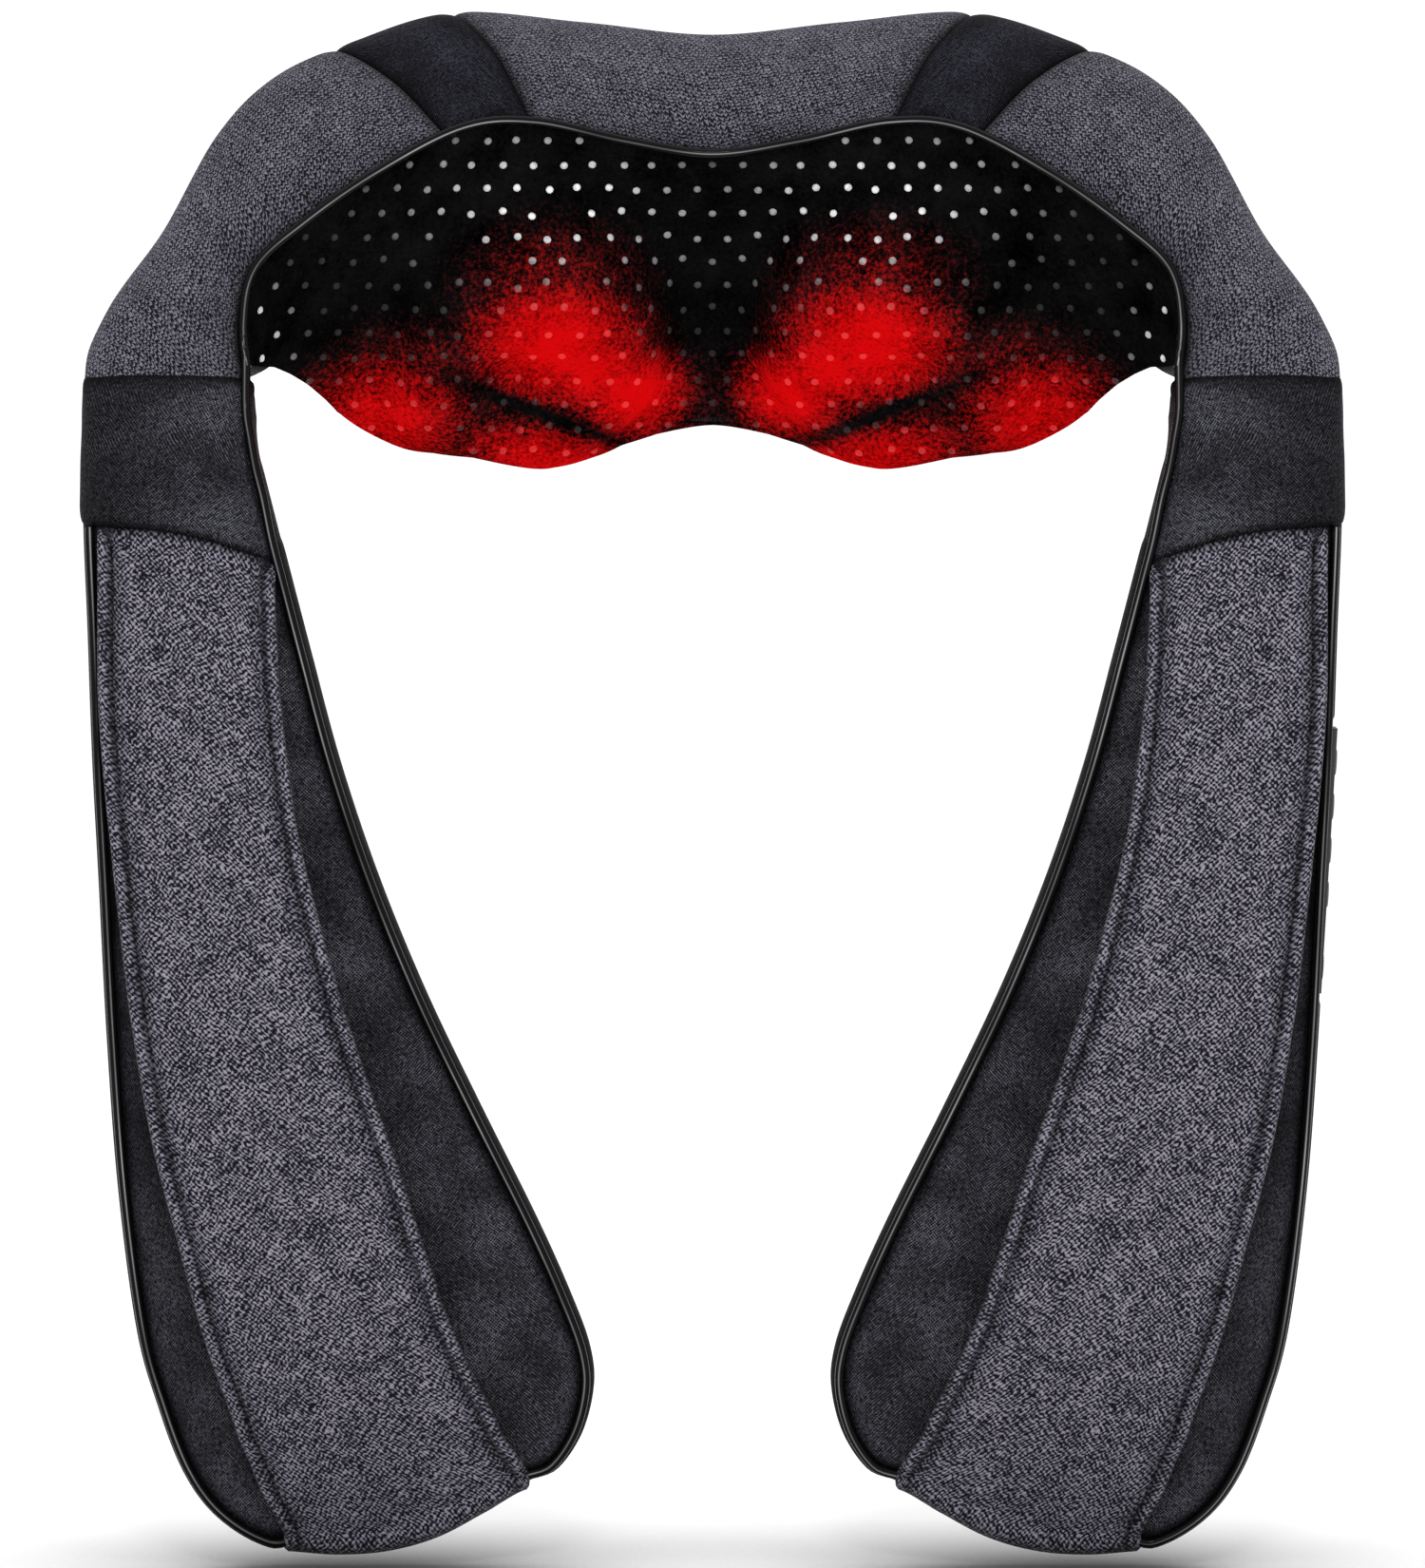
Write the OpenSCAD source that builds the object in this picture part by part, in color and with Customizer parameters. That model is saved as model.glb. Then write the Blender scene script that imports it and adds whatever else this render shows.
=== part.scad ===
// Shiatsu neck massager: a padded collar with two kneading drives, and two straps with hand loops.
// It is drawn as it is worn: X is across, Y points back from the neck and Z is up. Left and right are as
// seen from the front, and the origin is where the nape rests.

/* [Straps] */
// Padded thickness of the straps at the top
strap_thickness = 27; // [24:0.5:28]
// How far each hand loop stands off its strap
loop_gap = 18; // [12:1:24]
// Diameter of the piping cord
piping_d = 3; // [2.4:0.2:3.4]
/* [Kneading drives] */
// Distance of each drive's axis from the middle of the collar
drive_x = 64; // [62:0.5:66]
// How far each drive turns in towards the neck
drive_yaw = 16; // [14:1:18]
// How far each drive leans down
drive_tilt = 38; // [36:1:40]
// Radius of the circle that the nodes stand on
node_circle_r = 30; // [28:0.5:31]
// Radius of a kneading node
node_r = 12.5; // [11:0.5:12.5]
// Height of the tall nodes over the plate
tall_node_h = 22; // [20:0.5:23]
// Height of the short nodes over the plate
short_node_h = 18; // [15:0.5:20]
/* [Worm drive] */
// Teeth on the worm wheel, which is also the ratio of the drive
wheel_teeth = 44; // [44:1:44]
// Face width of the worm wheel
wheel_w = 8; // [6:0.5:9]
// Diameter of the motor can
motor_d = 24; // [20:0.5:24]
// Length of the motor can
motor_l = 32; // [26:0.5:33]
/* [Controls] */
// Height of the middle of the control panel
panel_z = -172; // [-190:1:-160]
// Radius of a button
button_r = 4; // [3:0.25:4.2]
// Distance from one button to the next
button_pitch = 14; // [11:0.5:15]
// Radius of the centre pin in the power inlet
inlet_pin_r = 1.05; // [0.8:0.05:1.25]

/* [Hidden] */

fabric_t = 1.8;              // sewn cover fabric with its backing
skin_gap = 0.3;              // free space between two layers
foam_t = 4;                  // padding between the cover and the hard shell
shell_t = 2.2;               // hard back shell
mesh_t = 1.2;                // stretch cover over the nodes
running_gap = 0.05;          // radial clearance of a shaft in its bush
motor_shaft_r = 1.5;
output_shaft_r = 4;
bush_r = 6;
foam_in = fabric_t + skin_gap;
shell_in = foam_in + foam_t + skin_gap;

// Names for the eight corners of a section round the collar
PIPE = 0;
BOTTOM = 6;
seam = 0.06;                 // share of a station or corner that a sewn edge stays back

// The collar's sections, from the middle to the top of the right strap. Each goes once round:
// piping, face, top, upper back, back, lower back, bottom, massage side.
collar_half = [
    [[0, -2, 51], [0, 14, 77], [0, 38, 90], [0, 68, 76],
     [0, 86, 36], [0, 86, -10], [0, 58, -38], [0, 34, 8]],
    [[28, -4, 55], [34, 13, 81], [42, 36, 94], [40, 67, 79],
     [38, 88, 38], [34, 88, -12], [28, 60, -45], [28, 28, 6]],
    [[57, -10, 61], [70, 8, 85], [84, 30, 97], [82, 62, 82],
     [78, 84, 40], [70, 86, -12], [58, 63, -53], [57, 22, 5]],
    [[80, -18, 59], [98, -2, 78], [117, 18, 87], [116, 50, 70],
     [112, 70, 32], [106, 72, -14], [90, 50, -49], [84, 13, 4]],
    [[107, -28, 45], [124, -17, 62], [141, 2, 75.5], [143, 34, 56],
     [140, 50, 22], [130, 48, -18], [114, 26, -38], [110, -2, 1]],
    [[130, -36, 29], [145, -30, 43], [158, -14, 57], [162, 14, 37],
     [158, 26, 8], [146, 24, -18], [131, 6, -24], [131, -14, 1]],
    [[145, -44, 15], [160, -43, 24], [173, -30, 28], [178, -6, 16],
     [172, 6, -6], [156, 4, -22], [143, -12, -19], [144, -28, -2]],
    [[149, -52, -2], [170, -57, 3], [188, -46, 5], [192, -24, -4],
     [178, -14, -16], [158, -16, -24], [147, -32, -18], [148, -42, -9]],
    [[147, -60, -21], [173, -65, -19], [197, -57, -20], [198, -40, -21],
     [174, -34, -24], [151, -37, -26], [146, -44, -24], [146, -52, -22]],
    [[143, -62, -40], [171, -66, -40], [197, -60, -40], [198, -42, -40],
     [172, -36, -40], [147, -39, -40], [143, -45, -40], [142, -54, -40]]
];
collar_end = len(collar_half) - 1;
strip_from = 2;
strip_to = 3;
mesh_end = 7;

// The right strap from the top down: height, inner edge, outer edge, middle depth, share of the thickness
strap_rows = [
    [-52, 140, 199, -51, 1], [-70, 136, 198, -51, 1],
    [-100, 128, 197.5, -52, 1], [-129, 121, 196.5, -53, 0.97],
    [-177, 105.5, 194.5, -54, 0.93], [-225, 85.5, 192, -55, 0.9], [-273, 62, 188.5, -54, 0.86],
    [-309, 45, 185, -53, 0.82], [-333, 37.5, 180, -52, 0.78], [-350, 39, 175, -51, 0.74],
    [-364, 50, 168, -50, 0.67], [-375, 73, 159, -50, 0.58],
    [-384, 96, 148, -50, 0.48], [-388, 112, 136, -50, 0.34]
];

// The hand loop's edges on the right strap: height, inner edge, outer edge
loop_rows = [
    [-71, 138, 194], [-120, 136, 193.5], [-165, 129, 189], [-225, 112, 181.5], [-276, 96, 172],
    [-321, 81, 160.5], [-354, 66, 150], [-372, 57, 142]
];
loop_t = 2.6;                // hemmed fabric of the hand loop
// Height where the loop turns under the strap, from its inner to its outer edge
loop_bottom = [-369, -382, -390, -393, -392.5, -388];

// ---- splines ----
function spline(a, b, c, d, t) =
    0.5 * (2 * b + (c - a) * t + (2 * a - 5 * b + 4 * c - d) * t * t + (3 * b - a - 3 * c + d) * t * t * t);
function along(list, u) =
    let (last = len(list) - 1, i = min(max(floor(u), 0), last - 1))
    spline(list[max(i - 1, 0)], list[i], list[i + 1], list[min(i + 2, last)], u - i);
function mirrored(p) = [-p.x, p.y, p.z];
function steps(from, to, n) = [for (i = [0:n]) from + (to - from) * i / n];
function flat(rows) = [for (row = rows) each row];
function total(list, i = 0) = i == len(list) - 1 ? list[i] : list[i] + total(list, i + 1);

// ---- closed solids from rows of points ----
function quad(a, b, c, d) = [[a, b, c], [a, c, d]];
function signed_volume(points, faces) =
    total([for (f = faces) points[f[0]] * cross(points[f[1]], points[f[2]])]);

module closed(points, faces) {
    inside_out = signed_volume(points, faces) > 0;
    polyhedron(points, inside_out ? [for (f = faces) [f[2], f[1], f[0]]] : faces, convexity = 8);
}

// The space between two sheets of points that have the same rows and columns
module slab(outer, inner) {
    rows = len(outer) - 1;
    cols = len(outer[0]) - 1;
    far = (rows + 1) * (cols + 1);
    at = function (i, j) i * (cols + 1) + j;
    faces = concat(
        [for (i = [0:rows - 1], j = [0:cols - 1])
            each quad(at(i, j), at(i + 1, j), at(i + 1, j + 1), at(i, j + 1))],
        [for (i = [0:rows - 1], j = [0:cols - 1])
            each quad(far + at(i, j), far + at(i, j + 1), far + at(i + 1, j + 1), far + at(i + 1, j))],
        [for (i = [0:rows - 1]) each quad(at(i, 0), far + at(i, 0), far + at(i + 1, 0), at(i + 1, 0))],
        [for (i = [0:rows - 1])
            each quad(at(i, cols), at(i + 1, cols), far + at(i + 1, cols), far + at(i, cols))],
        [for (j = [0:cols - 1]) each quad(at(0, j), at(0, j + 1), far + at(0, j + 1), far + at(0, j))],
        [for (j = [0:cols - 1])
            each quad(at(rows, j), far + at(rows, j), far + at(rows, j + 1), at(rows, j + 1))]
    );
    closed(concat(flat(outer), flat(inner)), faces);
}

// A solid through closed rings of points, capped at both ends
module loft(rings) {
    rows = len(rings) - 1;
    n = len(rings[0]);
    first = (rows + 1) * n;
    at = function (i, j) i * n + j % n;
    faces = concat(
        [for (i = [0:rows - 1], j = [0:n - 1])
            each quad(at(i, j), at(i + 1, j), at(i + 1, j + 1), at(i, j + 1))],
        [for (j = [0:n - 1]) [first, at(0, j), at(0, j + 1)]],
        [for (j = [0:n - 1]) [first + 1, at(rows, j + 1), at(rows, j)]]
    );
    closed(concat(flat(rings), [total(rings[0]) / n, total(rings[rows]) / n]), faces);
}

// A hollow sleeve between outer rings and inner rings
module sleeve(outer, inner) {
    rows = len(outer) - 1;
    n = len(outer[0]);
    far = (rows + 1) * n;
    at = function (i, j) i * n + j % n;
    faces = concat(
        [for (i = [0:rows - 1], j = [0:n - 1])
            each quad(at(i, j), at(i + 1, j), at(i + 1, j + 1), at(i, j + 1))],
        [for (i = [0:rows - 1], j = [0:n - 1])
            each quad(far + at(i, j), far + at(i, j + 1), far + at(i + 1, j + 1), far + at(i + 1, j))],
        [for (j = [0:n - 1]) each quad(at(0, j), at(0, j + 1), far + at(0, j + 1), far + at(0, j))],
        [for (j = [0:n - 1])
            each quad(at(rows, j), far + at(rows, j), far + at(rows, j + 1), at(rows, j + 1))]
    );
    closed(concat(flat(outer), flat(inner)), faces);
}

// A round cord along a line of points
module cord(line, r, sides = 8) {
    last = len(line) - 1;
    loft([for (i = [0:last])
        let (
            d = line[min(i + 1, last)] - line[max(i - 1, 0)],
            z = d / norm(d),
            side = cross(z, [0, 1, 0.02]),
            x = side / norm(side),
            y = cross(z, x)
        )
        [for (k = [0:sides - 1]) line[i] + r * (cos(360 * k / sides) * x + sin(360 * k / sides) * y)]
    ]);
}

// ---- the collar's surface ----
collar_sections = concat(
    [for (i = [collar_end:-1:1]) [for (p = collar_half[i]) mirrored(p)]],
    collar_half
);
function section(s) = [for (k = [0:7]) along([for (ring = collar_sections) ring[k]], s + collar_end)];
function pulled_in(p, c, d) = p + (c - p) / norm(c - p) * d;
// A point of the cover, v from the piping at 0 round to the bottom at 6, a depth d under the surface
function cover_point(s, v, d) =
    let (ring = section(s))
    pulled_in(along([for (k = [PIPE:BOTTOM]) ring[k]], v), total(ring) / 8, d);
// A point of the massage side, w from the bottom at 0 to the piping at 2
function face_point(s, w) = let (ring = section(s)) along([ring[BOTTOM], ring[7], ring[PIPE]], w);
function wrap_ring(s, d) = concat(
    [for (v = [0:0.5:BOTTOM]) cover_point(s, v, d)],
    [let (ring = section(s)) pulled_in(ring[7], total(ring) / 8, d)]
);

module cover_panel(s0, s1, v0 = PIPE, v1 = BOTTOM, d0 = 0, d1 = fabric_t) {
    stations = steps(s0, s1, (s1 - s0) * 2);
    corners = [for (v = steps(v0, v1, (v1 - v0) * 2)) min(max(v, seam), BOTTOM - seam)];
    slab(
        [for (s = stations) [for (v = corners) cover_point(s, v, d0)]],
        [for (s = stations) [for (v = corners) cover_point(s, v, d1)]]
    );
}
module wrap_panel(d0, d1) {
    stations = steps(mesh_end + seam, collar_end, 4);
    sleeve([for (s = stations) wrap_ring(s, d0)], [for (s = stations) wrap_ring(s, d1)]);
}
module on_side(side) {
    if (side == "right") children();
    else mirror([1, 0, 0]) children();
}

module both_sides() {
    children();
    mirror([1, 0, 0]) children();
}

module collar_cover() color("dimgray") both_sides() cover_panel(0, strip_from);
module collar_strip() color("black") cover_panel(strip_from, strip_to);
module shoulder_cover() color("dimgray") cover_panel(strip_to, mesh_end);
module shoulder_patch() color("black") wrap_panel(0, fabric_t);
module collar_foam() color("lightyellow")
    both_sides() cover_panel(0, 4.5, 0.5, 5.5, foam_in, foam_in + foam_t);
module shoulder_foam() color("lightyellow") wrap_panel(foam_in, foam_in + foam_t + 2);
module back_shell() color("black") both_sides() cover_panel(0, 4, 1, 5, shell_in, shell_in + shell_t);

// ---- the kneading drives: each is drawn in its own frame, with the output shaft on Z towards the neck ----
drive_at = [drive_x, 32, -6];
module in_drive() translate(drive_at) rotate([90 + drive_tilt, 0, -drive_yaw]) children();
axis_out = [-sin(drive_yaw) * cos(drive_tilt), -cos(drive_yaw) * cos(drive_tilt), -sin(drive_tilt)];
axis_side = [cos(drive_yaw), -sin(drive_yaw), 0];
axis_up = cross(axis_out, axis_side);

wheel_r = wheel_teeth / 2;                 // module 1
wheel_tip_r = wheel_r + 0.4;
wheel_root_r = wheel_r - 1.4;
worm_r = 5.5;
worm_wave = 1;                             // half the depth of the worm's thread
worm_pitch = PI;
worm_l = 4.5 * worm_pitch;
worm_y = wheel_r + worm_r;
worm_z = -19;
box_floor = -29;
box_top = -10.5;
lid_t = 2.5;
floor_t = 2.5;
bush_sink = 1.5;                           // how far the upper bush reaches into the box
box_r = 26;
worm_room = 7.5;                           // radius of the bore that the worm turns in
motor_gap = 22;                            // from the output shaft to the motor's front face
plate_r = 38;
plate_z = -3;
plate_t = 4;
plate_top = plate_z + plate_t;
lamp_z = -7.2;
hub_r = 7.5;                               // hub of the wheel and collar of the shaft
worm_bay = [-20, 14, 34, 24];              // the part of the box round the worm: x, y, length and width
screw_places = [[-20, -20], [20, -20], [19, 19], [-3, 36.5]];
screw_boss_r = 4;
screw_r = 1.15;
screw_head_r = 2.8;
screw_depth = 8;
press_fit = 0.01;                          // radial gap of a part that is pressed on

// The massage cover stands clear of the ring that the nodes sweep
cover_peak = tall_node_h + plate_top + 4.6;
function bump(rho) =
    rho > node_circle_r ? cover_peak - 0.05 * pow(rho - node_circle_r, 2)
                        : cover_peak - 0.012 * pow(node_circle_r - rho, 2);
function smooth_max(a, b) = (a + b + sqrt(pow(a - b, 2) + 9)) / 2;
function ease(t) = let (u = min(max(t, 0), 1)) u * u * (3 - 2 * u);
function massage_point(s, w, lift = 0) =
    let (
        p = face_point(s, w),
        sign = p.x < 0 ? -1 : 1,
        q = [abs(p.x), p.y, p.z] - drive_at,
        a = q * axis_side,
        b = q * axis_up,
        h = q * axis_out,
        raised = smooth_max(h, bump(norm([a, b]))) - h,
        edge = ease(w / 0.18) * ease((2 - w) / 0.4),
        moved = [abs(p.x), p.y, p.z] + (raised * edge + lift) * axis_out
    )
    [sign * moved.x, moved.y, moved.z];

module massage_cover() color("black") {
    stations = steps(-mesh_end, mesh_end, 40);
    across = concat([0.04, 0.14], steps(0.26, 1.74, 10), [1.86, 1.96]);
    slab(
        [for (s = stations) [for (w = across) massage_point(s, w)]],
        [for (s = stations) [for (w = across) massage_point(s, w, -mesh_t)]]
    );
}

module collar_piping() color("black") {
    r = piping_d / 2;
    cord([for (s = steps(-collar_end, collar_end, 40)) cover_point(s, 0, -r - skin_gap)], r);
}

module box_outline(z, h) {
    translate([0, 0, z]) cylinder(r = box_r, h = h, $fn = 64);
    translate([worm_bay[0], worm_bay[1], z]) cube([worm_bay[2], worm_bay[3], h]);
    for (p = screw_places) translate([p.x, p.y, z]) cylinder(r = screw_boss_r, h = h, $fn = 32);
}
module gearbox_housing() color("gainsboro") difference() {
    box_outline(box_floor, box_top - box_floor);
    translate([0, 0, box_floor + floor_t]) cylinder(r = wheel_tip_r + 0.8, h = box_r, $fn = 64);
    translate([-worm_room - 10, worm_y, worm_z]) rotate([0, 90, 0])
        cylinder(r = worm_room, h = 29, $fn = 48);
    translate([-worm_room - 10, worm_y - worm_room, worm_z]) cube([29, 2 * worm_room, 20]);
    translate([-box_r, worm_y, worm_z]) rotate([0, 90, 0])
        cylinder(r = motor_shaft_r + running_gap, h = 2 * box_r, $fn = 32);
    translate([0, 0, box_floor - 1]) cylinder(r = bush_r, h = 10, $fn = 32);
    for (p = screw_places) translate([p.x, p.y, box_top - screw_depth - 1])
        cylinder(r = screw_r + running_gap, h = screw_depth + 2, $fn = 24);
}
module gearbox_cover() color("gainsboro") difference() {
    union() {
        box_outline(box_top, lid_t);
        translate([0, 0, box_top - bush_sink]) cylinder(r = bush_r + 2, h = bush_sink + 0.5, $fn = 32);
    }
    translate([0, 0, box_top - bush_sink - 0.5]) cylinder(r = bush_r, h = 8, $fn = 32);
    for (p = screw_places) translate([p.x, p.y, box_top - 1]) cylinder(r = screw_r + 0.55, h = 6, $fn = 24);
}
// A cross-slotted screw
slot_w = 0.8;
slot_l = 4;
module gearbox_screw() color("silver") {
    translate([0, 0, box_top - screw_depth]) cylinder(r = screw_r, h = screw_depth + lid_t, $fn = 24);
    translate([0, 0, box_top + lid_t]) difference() {
        cylinder(r = screw_head_r, h = 1.6, $fn = 24);
        translate([-slot_l / 2, -slot_w / 2, 0.9]) cube([slot_l, slot_w, 1]);
        translate([-slot_w / 2, -slot_l / 2, 0.9]) cube([slot_w, slot_l, 1]);
    }
}
module gearbox_screws() both_sides() in_drive()
    for (p = screw_places) translate([p.x, p.y, 0]) gearbox_screw();

module output_bush(z, h) translate([0, 0, z]) difference() {
    cylinder(r = bush_r - press_fit, h = h, $fn = 32);
    translate([0, 0, -1]) cylinder(r = output_shaft_r + running_gap, h = h + 2, $fn = 32);
}
module output_bushes() color("peru") {
    output_bush(box_floor, floor_t);
    output_bush(box_top - bush_sink, lid_t + bush_sink);
}
module output_shaft() color("silver") {
    translate([0, 0, box_floor]) cylinder(r = output_shaft_r, h = plate_top + 3 - box_floor, $fn = 32);
    translate([0, 0, plate_top + 0.2]) cylinder(r = hub_r, h = 3, $fn = 32);
}
tooth_root = 0.95;                         // half a tooth's width at its root and at its tip
tooth_tip = 0.25;
wheel_hole_r = 3.6;
wheel_hole_circle_r = 14;
module worm_wheel() color("ivory") difference() {
    union() {
        translate([0, 0, worm_z - wheel_w / 2]) linear_extrude(wheel_w) union() {
            circle(r = wheel_root_r, $fn = 96);
            for (k = [0:wheel_teeth - 1]) rotate(90 + 360 * k / wheel_teeth)
                polygon([[wheel_root_r - 0.5, -tooth_root], [wheel_tip_r, -tooth_tip],
                         [wheel_tip_r, tooth_tip], [wheel_root_r - 0.5, tooth_root]]);
        }
        translate([0, 0, worm_z - wheel_w / 2 - 2]) cylinder(r = hub_r, h = wheel_w + 4, $fn = 32);
    }
    translate([0, 0, box_floor]) cylinder(r = output_shaft_r + press_fit, h = 30, $fn = 32);
    for (k = [0:5]) rotate(60 * k) translate([wheel_hole_circle_r, 0, box_floor])
        cylinder(r = wheel_hole_r, h = 30, $fn = 24);
}
arm_w = 14;                                // width of the arms that carry the nodes
rim_t = 2;
rim_w = 6;
module node_plate() color("black") difference() {
    translate([0, 0, plate_z]) union() {
        cylinder(r = 12, h = plate_t, $fn = 48);
        for (k = [0:3]) rotate(node_turn + 90 * k) {
            translate([0, -arm_w / 2, 0]) cube([node_circle_r, arm_w, plate_t]);
            translate([node_circle_r, 0, 0])
                cylinder(r = plate_r - node_circle_r + 2, h = plate_t, $fn = 48);
        }
        difference() {
            cylinder(r = plate_r - 4, h = rim_t, $fn = 96);
            translate([0, 0, -1]) cylinder(r = plate_r - 4 - rim_w, h = rim_t + 2, $fn = 96);
        }
    }
    translate([0, 0, plate_z - 1]) cylinder(r = output_shaft_r + press_fit, h = plate_t + 2, $fn = 32);
}
node_turn = 8;                             // how far round the nodes stand at rest
node_wall = 2.5;
// A round-headed node: a straight skirt under a ball's cap, hollow for its lamp light
module kneading_node(h) {
    skirt = h - node_r;
    difference() {
        union() {
            cylinder(r = node_r, h = skirt, $fn = 48);
            translate([0, 0, skirt]) sphere(r = node_r, $fn = 48);
        }
        translate([0, 0, -node_r * 2]) cube(node_r * 4, center = true);
        translate([0, 0, -1]) cylinder(r = node_r - node_wall, h = skirt + 1, $fn = 48);
    }
}
module kneading_nodes(h, first) color("crimson") for (k = [first, first + 2])
    rotate(node_turn + 90 * k) translate([node_circle_r, 0, plate_top + 0.05]) difference() {
        kneading_node(h);
        translate([-node_circle_r, 0, -1]) cylinder(r = hub_r + 0.7, h = 5, $fn = 32);
    }
module tall_nodes() kneading_nodes(tall_node_h, 1);
module short_nodes() kneading_nodes(short_node_h, 0);

board_t = 1.2;
board_r = 20;
lamp_r = 2;
lamp_circle_r = 14;
post_r = 1.5;
post_circle_r = 12;
module lamp_board() color("darkgreen") {
    translate([0, 0, lamp_z]) difference() {
        cylinder(r = board_r, h = board_t, $fn = 64);
        translate([0, 0, -1]) cylinder(r = hub_r + 1, h = 4, $fn = 32);
        for (p = screw_places) translate([p.x, p.y, -1]) cylinder(r = screw_boss_r + 0.5, h = 4, $fn = 24);
    }
    for (k = [0:5]) rotate(60 * k + 30) translate([lamp_circle_r, 0, lamp_z + board_t])
        cylinder(r = lamp_r, h = 1.4, $fn = 24);
    for (k = [0:2]) rotate(120 * k + 90) translate([post_circle_r, 0, box_top + lid_t])
        cylinder(r = post_r, h = lamp_z - box_top - lid_t, $fn = 24);
}
motor_boss_r = 5;
terminal = [2, 2, 5];
module motor() color("silver") translate([-motor_gap, worm_y, worm_z]) rotate([0, -90, 0]) difference() {
    union() {
        cylinder(r = motor_d / 2, h = motor_l, $fn = 48);
        translate([0, 0, -1.8]) cylinder(r = motor_boss_r, h = 2, $fn = 32);
        translate([0, 0, motor_l]) cylinder(r = motor_boss_r, h = 1.5, $fn = 32);
        for (y = [-7, 7]) translate([-terminal.x / 2, y - terminal.y / 2, motor_l - 1]) cube(terminal);
    }
    translate([0, 0, -3]) cylinder(r = motor_shaft_r + running_gap, h = motor_l, $fn = 32);
}
motor_shaft_in = 6;                        // how far the shaft's back end lies inside the can's far end
module motor_shaft() color("silver")
    translate([-motor_gap - motor_l + motor_shaft_in, worm_y, worm_z]) rotate([0, 90, 0])
        cylinder(r = motor_shaft_r, h = motor_l + motor_gap + 7, $fn = 32);
module worm() color("ivory") translate([-worm_l / 2, worm_y, worm_z]) rotate([0, 90, 0]) difference() {
    linear_extrude(worm_l, twist = -360 * worm_l / worm_pitch, slices = 54)
        translate([worm_wave, 0]) circle(r = worm_r, $fn = 16);
    translate([0, 0, -1]) cylinder(r = motor_shaft_r + press_fit, h = worm_l + 2, $fn = 32);
}

// A plate behind each gearbox, and a bar between them
frame_t = 3;
frame_z = box_floor - frame_t - 0.2;
frame_reach = 27;
frame_end = drive_at - (frame_reach - 2) * axis_side + (frame_z + frame_t / 2) * axis_out;
module frame_side() in_drive() translate([0, 0, frame_z]) difference() {
    union() {
        cylinder(r = 23, h = frame_t, $fn = 64);
        translate([-frame_reach, -9, 0]) cube([20, 18, frame_t]);
    }
    translate([0, 0, -1]) cylinder(r = 8, h = frame_t + 2, $fn = 32);
}
module drive_frame() color("dimgray") {
    both_sides() frame_side();
    translate([0, frame_end.y, frame_end.z]) rotate([90 + drive_tilt, 0, 0])
        translate([-frame_end.x - 3, -8, -2]) cube([2 * frame_end.x + 6, 16, 3.4]);
}
wire_r = 1.6;
// The leads run along the top of the collar and out through the right shoulder
harness_line = [
    [-30, 34, 52], [-10, 38, 56], [14, 40, 58], [38, 38, 60], [62, 30, 62], [86, 20, 60], [108, 10, 50],
    [128, 0, 36], [144, -8, 20], [158, -22, 6], [168, -38, -10], [171, -49, -26], [171, -51, -37]
];
module wiring_harness() color("red")
    cord([for (u = steps(0, len(harness_line) - 1, 24)) along(harness_line, u)], wire_r);

// ---- the straps ----
function strap_row(u) = along(strap_rows, u);
strap_crown = 3;             // how far the strap's front and back swell in their middles
back_crown = 1.2;
side_bulge = 1.6;
// One section of the right strap, d under its surface: front from inner to outer, then the side and the back
function strap_ring(u, d) =
    let (
        row = strap_row(u),
        inner = row[1] + d + side_bulge,
        outer = row[2] - d - side_bulge,
        half = strap_thickness * row[4] / 2 - d,
        front = [for (q = [-1:0.5:1]) [(inner + outer) / 2 + q * (outer - inner) / 2,
            row[3] - half - (1 - q * q) * strap_crown * row[4], row[0]]],
        back = [for (q = [1:-0.5:-1]) [(inner + outer) / 2 + q * (outer - inner) / 2,
            row[3] + half + (1 - q * q) * back_crown * row[4], row[0]]]
    )
    concat(front, [[outer + side_bulge, row[3], row[0]]], back, [[inner - side_bulge, row[3], row[0]]]);
strap_stations = [for (u = [1:0.5:13]) if (u <= 8 || u == floor(u)) u];
function part_of(list, from, to) = [for (k = [from:to]) list[k % len(list)]];

module strap_front() color("black") slab(
    [for (u = strap_stations) part_of(strap_ring(u, 0), 0, 4)],
    [for (u = strap_stations) part_of(strap_ring(u, fabric_t), 0, 4)]
);
module strap_back() color("black") slab(
    [for (u = strap_stations) part_of(strap_ring(u, 0), 4, 12)],
    [for (u = strap_stations) part_of(strap_ring(u, fabric_t), 4, 12)]
);
module strap_cuff() color("black") sleeve(
    [for (u = [0, 0.5, 0.98]) strap_ring(u, 0)],
    [for (u = [0, 0.5, 0.98]) strap_ring(u, fabric_t)]
);
module strap_foam() color("lightyellow")
    loft([for (u = concat([0.15], strap_stations)) strap_ring(u, foam_in)]);

function edge_line(corner, u0, u1, n, sign) = [for (u = steps(u0, u1, n))
    strap_ring(u, 0)[corner] + [sign * 1.35, -1.35, 0] * (piping_d + 2 * skin_gap) / 3.6];
module strap_piping() color("black") {
    cord(edge_line(0, 0.05, 10.1, 26, -1), piping_d / 2);
    cord(edge_line(4, 1, 11.7, 26, 1), piping_d / 2);
}

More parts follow.
